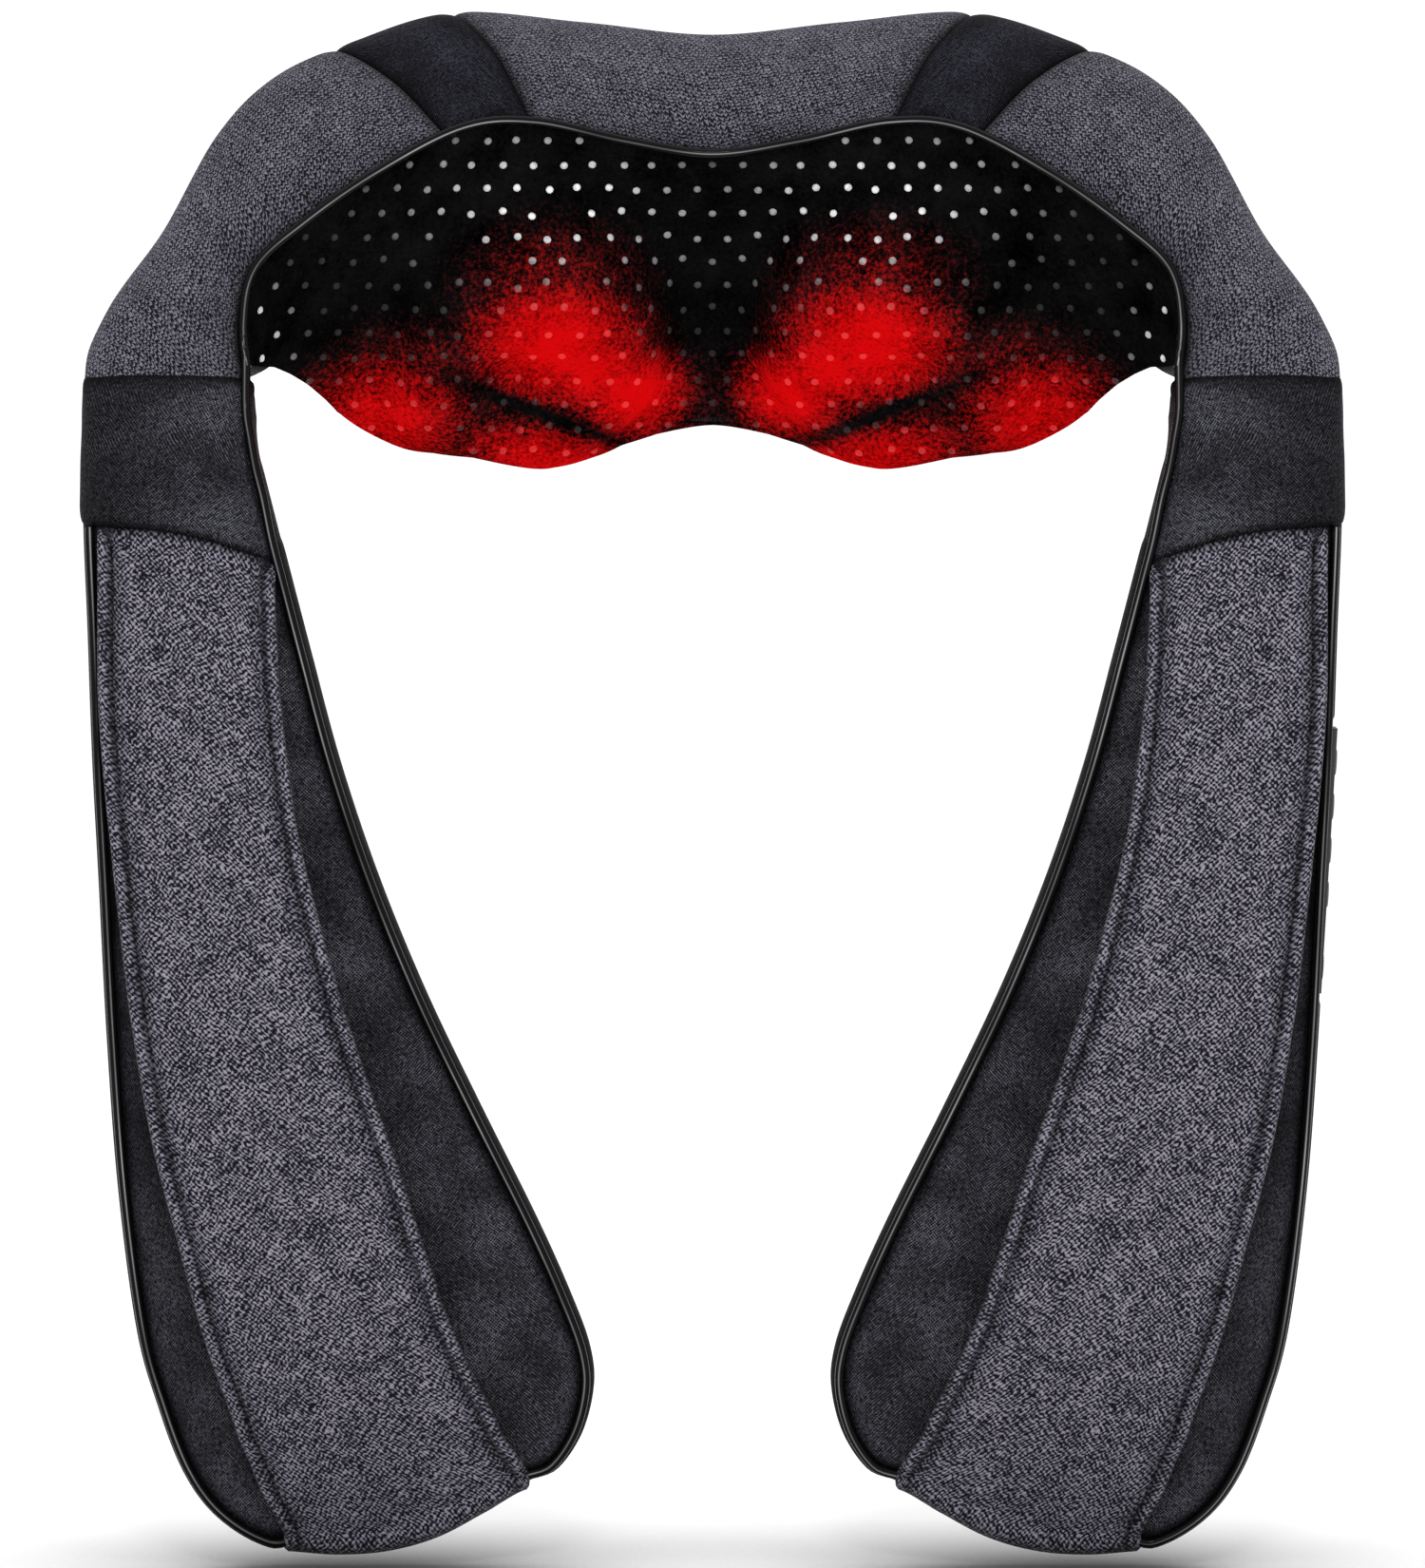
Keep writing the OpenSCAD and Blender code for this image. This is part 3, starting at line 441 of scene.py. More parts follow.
def piping_painted_highlight():
    """Black film over a cord, with a painted highlight: a thin pale line along its front, stronger in some
    stretches.
    """
    m = Nodes("piping_painted_highlight")
    uv = m.add("UVMap", uv_map="cloth").outputs[0]
    flat = m.add("SeparateXYZ", {"Vector": uv})
    grain = m.noise(uv, 900, 2.0)
    off = m.math("DIVIDE", m.minus(flat.outputs[0], 0.0026), 0.00022)
    painted_light_line = m.math("EXPONENT", m.times(m.times(off, off), -1.0))
    painted_highlight_stretches = m.add("CombineXYZ", {"X": flat.outputs[1]})
    painted_highlight_stretches = m.times(m.minus(m.noise(painted_highlight_stretches.outputs[0], 14, 2.0), 0.34), 3.0, clamp=True)
    # The painted highlight: the pale line's colour laid over the black film.
    colour = m.mix(m.times(painted_light_line, painted_highlight_stretches), (0.003, 0.003, 0.0035), (0.34, 0.34, 0.35))
    return m.finish(Base_Color=colour, Roughness=m.math("MULTIPLY_ADD", grain, 0.05, 0.13),
                    Normal=m.bump(grain, 0.00005, 0.3), Specular_IOR_Level=0.12, IOR=1.36)


def plain(name, colour, rough, metallic=0.0, grain=500.0, depth=0.00006):
    """Moulded plastic or plain metal with a fine grain."""
    m = Nodes(name)
    where = m.add("TexCoord").outputs["Object"]
    fine = m.noise(where, grain, 3.0)
    broad = m.noise(where, 30.0, 2.0)
    tint = m.mix(m.times(broad, 0.35), colour, tuple(c * 0.7 for c in colour))
    rough_here = m.math("MULTIPLY_ADD", fine, 0.12, rough - 0.06)
    return m.finish(Base_Color=tint, Metallic=metallic, Roughness=rough_here,
                    Normal=m.bump(fine, depth, 0.4))


# Where red light comes through the massage cover, on the right side: place, reach both ways, tilt and power
GLOWS = [((50, -10), (27, 20), 0, 1.0), ((26, -26), (18, 15), 0, 1.0), ((38, -18), (20, 15), 0, 0.95),
         ((105, -34), (27, 20), 0, 0.77), ((52, -48), (32, 12), 12, 0.82), ((52, 8), (36, 26), 0, 0.34),
         ((94, -20), (38, 22), 0, 0.30), ((40, -30), (50, 26), 0, 0.34)]
# The painted shadow of a fold between them, in the same way: it darkens the glow
PAINTED_FOLD_SHADOW = ((56, -32), (27, 2.4), 22, 0.75)


def massage_mesh(name, dots=False):
    """Black stretch mesh, lit red from behind over the nodes."""
    m = Nodes(name)
    where = m.add("TexCoord").outputs["Object"]
    flat = m.add("SeparateXYZ", {"Vector": where})
    x, z = m.math("ABSOLUTE", flat.outputs[0]), flat.outputs[2]

    def spot(gx, gz, rx, rz, tilt=0):
        c, s = math.cos(math.radians(tilt)), math.sin(math.radians(tilt))
        off_x, off_z = m.minus(x, gx * MM), m.minus(z, gz * MM)
        dx = m.plus(m.times(off_x, c / rx / MM), m.times(off_z, s / rx / MM))
        dz = m.minus(m.times(off_z, c / rz / MM), m.times(off_x, s / rz / MM))
        far = m.plus(m.times(dx, dx), m.times(dz, dz))
        return m.math("EXPONENT", m.times(far, -1.0))

    glow = None
    for (gx, gz), (rx, rz), tilt, power in GLOWS:
        here = m.times(spot(gx, gz, rx, rz, tilt), power)
        glow = here if glow is None else m.math("MAXIMUM", glow, here)
    (gx, gz), (rx, rz), tilt, power = PAINTED_FOLD_SHADOW
    glow = m.times(glow, m.math("MULTIPLY_ADD", spot(gx, gz, rx, rz, tilt), -power, 1.0))
    cloud = m.noise(where, 55, 4.0, 0.65)
    speck = m.noise(where, 720, 2.0, 0.8)
    hole = m.add("TexVoronoi", {"Vector": where, "Scale": 1300.0}, feature="F1")
    patchy = m.times(glow, m.math("MULTIPLY_ADD", cloud, 1.1, 0.48))
    grain = m.times(m.minus(speck, 0.5), m.minus(1.35, glow))
    edge = m.plus(patchy, m.times(grain, m.times(glow, 4.0)))
    red = m.ramp(m.minus(edge, 0.16, clamp=True),
                 [(0.0, (0.0, 0.0, 0.0)), (0.14, (0.035, 0.0003, 0.0005)), (0.42, (0.30, 0.001, 0.0015)),
                  (0.85, (0.68, 0.002, 0.003))])
    if dots:
        # Painted light on the dots: pale near the top middle and at the sides, where light falls on them,
        # dark elsewhere and in the red glow.
        lit = m.math("MAXIMUM", spot(52, 36, 34, 18), spot(146, -8, 9, 16))
        lit = m.math("MAXIMUM", lit, m.times(spot(14, 30, 22, 16), 0.35))
        lit = m.times(lit, m.minus(1.0, m.math("POWER", glow, 1.5), clamp=True))
        lit = m.times(m.math("MULTIPLY_ADD", lit, 1.3, 0.015), m.math("MULTIPLY_ADD", speck, 1.2, 0.2))
        base = m.mix(m.plus(lit, 0.0, clamp=True), (0.012, 0.011, 0.012), (0.88, 0.88, 0.89))
        return m.finish(Base_Color=base, Roughness=0.45, Emission_Strength=0.95,
                        Emission_Color=m.mix(m.math("MULTIPLY_ADD", glow, 1.5, -0.5, clamp=True), red,
                                             (0.85, 0.012, 0.012)),
                        Normal=m.bump(speck, 0.00005, 0.3), Specular_IOR_Level=0.03)
    base = m.ramp(m.plus(m.times(cloud, 0.6), m.times(speck, 0.4)),
                  [(0.35, (0.0003, 0.0003, 0.0004)), (0.75, (0.0085, 0.008, 0.0085))])
    base = m.mix(glow, base, (0.0003, 0.0002, 0.0002))
    bump = m.bump(hole.outputs["Distance"], 0.00025, 0.7)
    return m.finish(Base_Color=base, Roughness=0.9, Normal=bump, Specular_IOR_Level=0.0,
                    Emission_Color=red, Emission_Strength=1.0)


def lit_red():
    m = Nodes("red_nodes")
    where = m.add("TexCoord").outputs["Object"]
    cloud = m.noise(where, 80, 2.0)
    return m.finish(Base_Color=m.mix(cloud, (0.55, 0.01, 0.01), (0.4, 0.0, 0.005)), Roughness=0.3,
                    Transmission_Weight=0.3, Emission_Color=(0.9, 0.01, 0.01), Emission_Strength=0.3)


COLLAR_CLOTH = woven_cloth("collar_cloth", 0.0016, shade=0.40, contrast=1.6, knit=True, blue=1.12)
LOOP_CLOTH = woven_cloth("loop_cloth", 0.0013, shade=0.64, contrast=1.55, blue=1.06)
COATED = coated_cloth("coated_cloth")
STRIP_CLOTH = coated_cloth("strip_cloth", base=(0.0022, 0.0022, 0.0032))
PIPING = piping_painted_highlight()
MESH = massage_mesh("massage_mesh")
DOTS = massage_mesh("raised_dots", dots=True)
FINISHES = {
    "black_plastic": plain("black_plastic", (0.02, 0.02, 0.022), 0.5),
    "grey_plastic": plain("grey_plastic", (0.5, 0.51, 0.52), 0.45),
    "steel": plain("steel", (0.6, 0.6, 0.62), 0.32, metallic=1.0, grain=1500.0),
    "bronze": plain("bronze", (0.5, 0.33, 0.16), 0.4, metallic=1.0),
    "gear_plastic": plain("gear_plastic", (0.75, 0.72, 0.62), 0.35),
    "red_plastic": lit_red(),
    "board": plain("board", (0.02, 0.15, 0.07), 0.4),
    "wire": plain("wire", (0.03, 0.03, 0.03), 0.5),
    "button": plain("button", (0.16, 0.16, 0.17), 0.55, grain=900.0),
    "foam": plain("foam", (0.006, 0.006, 0.007), 0.9, grain=700.0, depth=0.0003),
    "piping": PIPING,
    "black_leather": COATED,
    "grey_fabric": COLLAR_CLOTH,
    "black_mesh": MESH,
}

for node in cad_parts.values():
    kept = node.data.materials[0].name.split(".")[0] if node.data.materials else "black_plastic"
    node.data.materials.clear()
    node.data.materials.append(FINISHES.get(kept, FINISHES["black_plastic"]))


# ---- the collar's panels ----
SKIN = 1.8
SEAM_DIP = 1.7


def panel_grid(s0, s1, v0, v1, rows, cols, dips):
    """A sewn panel of the collar, which dips at those of its four edges that dips names."""
    s, v = dense_ends(s0, s1, rows), dense_ends(v0, v1, cols)
    p, centres = collar_points(s, v)
    n = grid_normals(p, centres)
    far = edge_distance(p, dips)
    outer = p - n * pillow(far, 7.0, SEAM_DIP)[..., None]
    # Painted shade: darker close to the seams, with a broader, lighter painted shade out to about a
    # centimetre from them.
    shade = seam_shade(far, 1.8, 0.85) * seam_shade(far, 9, 0.4)
    return outer, p - n * (SKIN + SEAM_DIP + 0.4), cloth_uv(p, across=1, down=0), shade


# How far out the collar reaches, and the cover's lower rim seen from the front: nothing hangs below it
SIDE_X = 199.3
RIM_X = [0, 12, 18, 30, 36, 45, 54, 66, 78, 93, 104.4, 110.6, 120, 124.7, 130.2, 135.7, 140.4, 149, 153]
RIM_Z = [-38.6, -39.6, -40.5, -44.4, -49, -52.6, -52.6, -50, -47.2, -46.2, -45.9, -43.8, -35.2, -28.9, -23.5,
         -19.6, -17.2, -16.7, -60]


def no_lower(z, least, soft=1.2):
    """z, but levelling off softly at the least height."""
    over = z - least
    near = np.clip(over / soft, -30, 30)         # keeps np.exp from overflowing
    return least + soft * np.log1p(np.exp(near)) + np.maximum(over - 30 * soft, 0)


def no_wider(x, most, soft=0.6):
    """x, but levelling off softly at the most."""
    return most - np.log1p(np.exp((most - x) / soft)) * soft


def rim_height(x):
    return np.interp(np.abs(x), RIM_X, RIM_Z)


def above_rim(p, lift):
    """Points of the right half, kept inside the collar's side and above the rim of the massage side."""
    p[..., 0] = no_wider(p[..., 0], SIDE_X - lift)
    z = p[..., 2]
    short = np.maximum(0, rim_height(p[..., 0]) + lift - z)
    p[..., 2] = z + short * ease((p[..., 1] + 12) / 6)
    return p


def collar_panel(name, node, s0, s1, rows, material, mirror, dips=(True, True, True, True)):
    outer, inner, uv, shade = panel_grid(s0, s1, 0.03, BOTTOM - 0.03, rows, 72, dips)
    outer, inner = above_rim(outer, 1.0), above_rim(inner, 1.8)
    if mirror:
        outer, inner = outer * [-1, 1, 1], inner * [-1, 1, 1]
    piece = shell(name, outer, inner, material, "collar", uv, shade)
    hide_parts(node)


collar_panel("collar_middle_panel", "collar_cover", -STRIP_FROM, STRIP_FROM, 130, COLLAR_CLOTH, False)
# The foam under the panels keeps above the rim too, and ends inside the shoulder patches
FOAM_END_X, FOAM_END_Z = 140, -33
for name, node, lift in (("shoulder_pads", "shoulder_foams", 3.4), ("collar_pads", "collar_foam", 4.2)):
    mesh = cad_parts[node].data.copy()
    mesh.transform(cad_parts[node].matrix_world)
    spots = np.empty(len(mesh.vertices) * 3)
    mesh.vertices.foreach_get("co", spots)
    spots = spots.reshape(-1, 3) / MM
    half = np.where(spots[:, :1] < 0, -1, 1)
    spots[:, :1] *= half
    spots = above_rim(spots, lift)
    spots[:, 2] = np.where(spots[:, 0] > FOAM_END_X, no_lower(spots[:, 2], FOAM_END_Z, 2.0), spots[:, 2])
    spots[:, :1] *= half
    mesh.vertices.foreach_set("co", (spots * MM).reshape(-1))
    pad = bpy.data.objects.new(name, mesh)
    bpy.context.scene.collection.objects.link(pad)
    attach(pad, "collar")
    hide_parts(node)
for side, sign in SIDES.items():
    collar_panel(side + "_leather_strip", side + "_collar_strip", STRIP_FROM, STRIP_TO, 40, STRIP_CLOTH,
                 sign < 0)
    collar_panel(side + "_shoulder_panel", side + "_shoulder_cover", STRIP_TO, SHOULDER_TO, 150, COLLAR_CLOTH,
                 sign < 0, dips=(True, False, True, True))


# ---- the massage side: stretch mesh over the nodes, with raised dots ----
# The right drive, as the part has it: its place, its axis and two directions across the axis
DRIVE_AT = np.array([64, 32, -6.0])
DRIVE_YAW, DRIVE_TILT = math.radians(16), math.radians(38)
AXIS_OUT = np.array([-math.sin(DRIVE_YAW) * math.cos(DRIVE_TILT), -math.cos(DRIVE_YAW) * math.cos(DRIVE_TILT),
                     -math.sin(DRIVE_TILT)])
AXIS_SIDE = np.array([math.cos(DRIVE_YAW), -math.sin(DRIVE_YAW), 0])
AXIS_UP = np.cross(AXIS_OUT, AXIS_SIDE)
NODE_CIRCLE_R = 30
COVER_PEAK = 27.6            # how far the cover stands out over the drive's middle, along its axis
# Where the nodes push the cover out: place seen from the front, reach and height
KNOBS = [((46, -8), 19, 2.6), ((22, -27), 14, 1.8), ((95, -31), 15, 2.6), ((50, -42), 14, 2.4)]


def massage_points(s, w):
    """The mesh cover's outer surface: the massage side, pushed out by the node plates and the nodes."""
    p = face_points(s, w)
    sign = np.where(p[..., :1] < 0, -1.0, 1.0)
    flip = np.concatenate([sign, np.ones_like(sign), np.ones_like(sign)], -1)
    q = p * flip
    d = q - DRIVE_AT
    a, b, h = d @ AXIS_SIDE, d @ AXIS_UP, d @ AXIS_OUT
    rho = np.hypot(a, b)
    peak = np.where(rho > NODE_CIRCLE_R, COVER_PEAK - 0.05 * (rho - NODE_CIRCLE_R) ** 2,
                    COVER_PEAK - 0.012 * (NODE_CIRCLE_R - rho) ** 2)
    raised = (h + peak + np.sqrt((h - peak) ** 2 + 40)) / 2 - h
    edge = (ease(np.asarray(w) / 0.18) * ease((2 - np.asarray(w)) / 0.4))[None]
    q = q + (raised * edge)[..., None] * AXIS_OUT
    for (kx, kz), reach, height in KNOBS:
        far = ((q[..., 0] - kx) / reach) ** 2 + ((q[..., 2] - kz) / (reach * 0.85)) ** 2
        q = q + (height * np.exp(-far) * edge)[..., None] * AXIS_OUT
    q[..., 2] = no_lower(q[..., 2], rim_height(q[..., 0]))
    return q * flip


mesh_s = np.linspace(-7.9, 7.9, 361)
mesh_w = np.concatenate([[0.02], dense_ends(0.06, 1.94, 96), [1.985]])
mesh_outer = massage_points(mesh_s, mesh_w)
mesh_n = grid_normals(mesh_outer, mesh_outer + [0.0, 10, 3])
cover = shell("massage_mesh", mesh_outer, mesh_outer - mesh_n * 1.0, MESH, "collar", cloth_uv(mesh_outer))
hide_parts("massage_cover")

# Raised dots in staggered rows: their spacing, how far out they go, and the radius and height of their rings
DOT_X, DOT_Z = 9.6, 7.7
DOTS_TO_X = 145
DOT_SIDES = 10
DOT_RINGS = ((1.35, -0.25), (1.22, 0.35), (0.72, 0.8))
front = mesh_outer[..., [0, 2]].reshape(-1, 2)
facing = mesh_n.reshape(-1, 3)
where3 = mesh_outer.reshape(-1, 3)
edge_gap = np.minimum(mesh_w, 2 - mesh_w)
gap = np.broadcast_to(edge_gap[None], mesh_outer.shape[:2]).reshape(-1)
dot_points, dot_faces = [], []
turn = 2 * np.pi * np.arange(DOT_SIDES) / DOT_SIDES
for row in range(-9, 12):
    z = row * DOT_Z + 1.5
    for col in range(-17, 18):
        x = (col + 0.5 * (row % 2)) * DOT_X
        near = np.argmin(((front - [x, z]) ** 2).sum(1) + np.where(facing[:, 1] > -0.05, 1e4, 0))
        off_cover = np.hypot(*(front[near] - [x, z])) > 1.2 or gap[near] < 0.07
        if off_cover or z < rim_height(x) + 2 or abs(x) > DOTS_TO_X:
            continue
        centre, n = where3[near], facing[near]
        side = unit(np.cross(n, [0, 0, 1.0]))
        up = np.cross(side, n)
        base = len(dot_points)
        for r, h in DOT_RINGS:
            for t in turn:
                dot_points.append(centre + r * (math.cos(t) * side + math.sin(t) * up) + h * n)
        dot_points += [centre + 0.92 * n, centre - 0.3 * n]
        top, foot = base + 3 * DOT_SIDES, base + 3 * DOT_SIDES + 1
        for k in range(DOT_SIDES):
            low_a, low_b = base + k, base + (k + 1) % DOT_SIDES
            a, b = low_a + DOT_SIDES, low_b + DOT_SIDES
            high_a, high_b = a + DOT_SIDES, b + DOT_SIDES
            dot_faces += [[low_a, low_b, b, a], [a, b, high_b, high_a], [high_a, high_b, top],
                          [low_b, low_a, foot]]
make_mesh("massage_dots", dot_points, dot_faces, DOTS, "collar")

# ---- the straps ----
FRONT_INSET = 4.3            # how far the seams lie inside the outline
FRONT_CROWN = 3.6            # how far the front and the back swell in the middle
BACK_CROWN = 1.6
CROWN_REACH = 34.0           # how far from the seam the swell levels off
WRAP_ROOM = 2.7              # how far it gives way to the loop under its tip

side_u = np.linspace(1.0, 12.0, 131)
tip_u = 12 + 7.0 * np.linspace(0, 1, 61)[1:]
outer_u = 19 + (27.4 - 19) * np.linspace(0, 1, 121)[1:]
edge_xz = along(OUTLINE, np.concatenate([side_u, tip_u, outer_u]))
edge_along = unit(np.gradient(edge_xz, axis=0))
inward = np.stack([-edge_along[:, 1], edge_along[:, 0]], -1)
room = WRAP_ROOM * ease((edge_xz[:, 0] - 49) / 9) * ease((141 - edge_xz[:, 0]) / 9) * (edge_xz[:, 1] < -362)
edge_xz = edge_xz + inward * room[:, None]
seam_xz = edge_xz + inward * FRONT_INSET


def mid_y(z):
    return at_height(STRAP_DEPTH, z, 1)


def half_t(z):
    return at_height(STRAP_DEPTH, z, 2) / 2


def coons(left, bottom, right):
    """A grid in the front view between a straight top, a left and a right side and a curved bottom."""
    rows, cols = len(left), len(bottom)
    r, q = np.linspace(0, 1, rows)[:, None, None], np.linspace(0, 1, cols)[None, :, None]
    top = left[0] + (right[0] - left[0]) * q
    ruled = left[:, None] * (1 - q) + right[:, None] * q
    lofted = top * (1 - r) + bottom[None] * r
    corners = (left[0] * (1 - q) + right[0] * q) * (1 - r) + (bottom[0] * (1 - q) + bottom[-1] * q) * r
    return ruled + lofted - corners


n_side, n_tip = len(side_u), len(tip_u) + 1
left_edge = seam_xz[:n_side]
bottom_edge = seam_xz[n_side - 1:n_side - 1 + n_tip]
right_edge = seam_xz[n_side - 1 + n_tip - 1:][::-1]
share_left = np.linspace(0, 1, n_side)
pick = np.interp(share_left, np.linspace(0, 1, len(right_edge)), np.arange(len(right_edge)))
right_same = np.stack([np.interp(pick, np.arange(len(right_edge)), right_edge[:, k]) for k in (0, 1)], -1)
flat_grid = coons(left_edge, bottom_edge, right_same)
rim_line = seam_xz[::2]


def distance_to(line, points):
    flat = points.reshape(-1, 2)
    out = np.empty(len(flat))
    for i in range(0, len(flat), 4000):
        part = flat[i:i + 4000]
        a, b = line[:-1], line[1:]
        ab = b - a
        t = np.clip(((part[:, None] - a) * ab).sum(-1) / (ab ** 2).sum(-1), 0, 1)
        out[i:i + 4000] = np.sqrt((((a + ab * t[..., None]) - part[:, None]) ** 2).sum(-1)).min(1)
    return out.reshape(points.shape[:-1])


rim_gap = distance_to(rim_line, flat_grid)


def strap_face(out, crown, dip):
    """The strap's front, with out at -1, or its back, with out at 1: crowned, with a soft rolled edge."""
    z = flat_grid[..., 1]
    swell = crown * (1 - (1 - np.clip(rim_gap / CROWN_REACH, 0, 1)) ** 2.4) - pillow(rim_gap, 5.0, dip)
    y = mid_y(z) + out * (half_t(z) + swell)
    return np.stack([flat_grid[..., 0], y, z], -1)


front_face = strap_face(-1, FRONT_CROWN, 1.6)
back_face = strap_face(1, BACK_CROWN, 1.2)


def wall_points(rows=22):
    """The strap's rounded side wall, from its front seam to its back seam."""
    t = np.linspace(0, 1, rows + 1)
    bulge = FRONT_INSET * (1 - np.abs(2 * t - 1) ** 2.5) ** (1 / 2.0)
    z = seam_xz[:, 1]
    y0 = mid_y(z) - half_t(z) + 1.6
    y1 = mid_y(z) + half_t(z) - 1.2
    p = np.empty((len(seam_xz), rows + 1, 3))
    xz = seam_xz[:, None] - inward[:, None] * bulge[None, :, None]
    p[..., 0], p[..., 2] = xz[..., 0], xz[..., 1]
    p[..., 1] = y0[:, None] + (y1 - y0)[:, None] * t[None]
    return p


def front_at(x, z):
    """The strap's front surface under each place in the front view, without its seam's dip."""
    gap_here = distance_to(rim_line, np.stack([x, z], -1))
    swell = FRONT_CROWN * (1 - (1 - np.clip(gap_here / CROWN_REACH, 0, 1)) ** 2.4)
    return mid_y(z) - half_t(z) - swell


def closed_pad(name, sign, body):
    """One closed cushion: the front, the side wall and the back, joined at their seams."""
    wall = wall_points()
    # Painted shade: the front and back darken towards their seams, and the side wall is painted near black.
    painted_face_shade = seam_shade(rim_gap, 2.4, 0.75)
    painted_wall_shade = np.full(wall.shape[:2], 0.08)
    points, faces, uvs, shades = [], [], [], []
    for grid, shade in ((front_face, painted_face_shade), (wall, painted_wall_shade), (back_face, painted_face_shade)):
        faces.append(faces_between(*grid.shape[:2]) + sum(len(p) for p in points))
        points.append(grid.reshape(-1, 3))
        uvs.append(cloth_uv(grid).reshape(-1, 2))
        shades.append(shade.reshape(-1))
    piece = make_mesh(name, np.concatenate(points) * [sign, 1, 1], np.concatenate(faces), COATED, None,
                      np.concatenate(uvs), np.concatenate(shades))
    bm = bmesh.new()
    bm.from_mesh(piece.data)
    bmesh.ops.remove_doubles(bm, verts=bm.verts, dist=0.35 * MM)
    bmesh.ops.holes_fill(bm, edges=[e for e in bm.edges if e.is_boundary], sides=0)
    bmesh.ops.recalc_face_normals(bm, faces=bm.faces)
    bm.to_mesh(piece.data)
    bm.free()
    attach(piece, body)
    return piece


# ---- the leather shoulder patches, round the tops of the straps ----
RING_N = 96


def closed_ring(corners, marks, n=RING_N):
    """n points round a closed curve through the corners, a quarter of them between each two marks."""
    corners = np.asarray(corners, float)
    m = len(corners)
    wrapped = np.concatenate([corners[-2:], corners, corners[:3]])
    u = []
    for a, b in zip(marks, marks[1:] + [marks[0] + m]):
        u.append(a + (b - a) * np.arange(n // 4) / (n // 4))
    return along(wrapped, np.concatenate(u) + 2)


BAND_ROOM = 3.6              # the hand band goes in under the patch


def inner_edge(z):
    return np.interp(-np.asarray(z), -np.array(OUTLINE)[:8, 1], np.array(OUTLINE)[:8, 0])


def outer_edge(z):
    return np.interp(-np.asarray(z), -np.array(OUTLINE)[:22:-1, 1], np.array(OUTLINE)[:22:-1, 0])


PATCH_SEAM_Z = -66.5


def seam_height(x):
    """The patch's lower seam runs lower towards the neck."""
    return PATCH_SEAM_Z - 13 * np.clip((196 - x) / 58, 0, 1) ** 2.6


def strap_ring(z):
    """The padded strap's section with the patch round it, as a closed curve."""
    inner, outer = float(inner_edge(z)) + 0.5, float(outer_edge(z)) + 0.9
    y, h = float(mid_y(np.array([z]))[0]), float(half_t(np.array([z]))[0]) + 0.8
    turn = 2 * np.pi * np.arange(RING_N) / RING_N - 3 * np.pi / 4
    c, s = np.cos(turn), np.sin(turn)
    power = 2 / 4.2
    middle, rx = (inner + outer) / 2, (outer - inner) / 2
    x = middle + rx * np.sign(c) * np.abs(c) ** power
    yy = y + h * np.sign(s) * np.abs(s) ** power
    crown = 1 - ((x - middle) / rx) ** 4
    yy = yy + np.where(s < 0, -(2.6 + BAND_ROOM), 1.2) * crown * np.abs(s) ** 0.5
    return np.stack([x, yy, np.full(RING_N, z)], -1)


def patch_rings():
    """Rings down the shoulder patch, from its upper seam to its curved lower seam."""
    rings = []
    sec = sections()
    for s in np.linspace(7.93, 8.5, 10):
        ring = closed_ring(along(sec, s + COLLAR_END), [0, 2, 3, 5])
        ring = ring + unit(ring - ring.mean(0)) * 0.7
        ring[:, 0] = no_wider(ring[:, 0], SIDE_X - 0.4)
        share = ease((s - 7.95) / 0.55) * 0.6
        target = strap_ring(float(np.clip(ring[:, 2].mean(), -400, -22)))
        target[:, 2] = ring[:, 2]
        rings.append(ring * (1 - share) + target * share)
    last = rings[-1]
    level = last[:, 2].mean()
    for k, z in enumerate(np.linspace(level - 1.5, -66, 28)):
        share = ease((k + 1) / 12)
        start = last + [0, 0, z - level]
        rings.append(start * (1 - share) + strap_ring(z) * share)
    rings = np.array(rings)
    x, z = rings[..., 0], rings[..., 2]
    down = z + (seam_height(x) - PATCH_SEAM_Z) * np.clip((-36 - z) / 30, 0, 1)
    moved = rings.copy()
    moved[..., 2] = down
    moved[..., 0] += (inner_edge(down) - inner_edge(z)) * np.clip((199 - x) / 56, 0, 1)
    return moved


def closed_sleeve(name, outer, inner, material, sign, uv, shade):
    """A closed tube of cloth between outer rings and inner rings."""
    rows, n = outer.shape[:2]
    top = faces_between(rows, n, wrap=True)
    under = top[:, ::-1] + rows * n
    rim = []
    for row, turned in ((0, False), (rows - 1, True)):
        for k in range(n):
            a, b = row * n + k, row * n + (k + 1) % n
            face = [b, a, a + rows * n, b + rows * n]
            rim.append(face[::-1] if turned else face)
    faces = np.concatenate([top, under, np.array(rim)])
    points = np.concatenate([outer.reshape(-1, 3), inner.reshape(-1, 3)]) * [sign, 1, 1]
    if sign > 0:
        faces = faces[:, ::-1]
    return make_mesh(name, points, faces, material, None, np.concatenate([uv.reshape(-1, 2)] * 2),
                     np.concatenate([shade.reshape(-1)] * 2))


def bend_at_joint(piece):
    """The piece's placement is baked into its points."""
    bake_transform(piece)


# The control panel and its inlet in the right strap's outer wall, and how far the wall goes in behind them
# and at their rim
WALL_FROM_X, PANEL_Y, PANEL_Z = 180, (-60.5, -47.5), (-213.9, -129.2)
POCKET_DEPTH, RIM_DEPTH = 17, 1


def pocket_for_panel(pad):
    """The right strap's wall goes in round the control panel, so that no cloth lies over it or its inlet."""
    for v in pad.data.vertices:
        x, y, z = v.co / MM
        in_y, in_z = min(y - PANEL_Y[0], PANEL_Y[1] - y), min(z - PANEL_Z[0], PANEL_Z[1] - z)
        if x > WALL_FROM_X and in_y > -0.6 and in_z > -1:
            v.co.x -= (POCKET_DEPTH if in_y > 1.2 and in_z > 3 else RIM_DEPTH) * MM


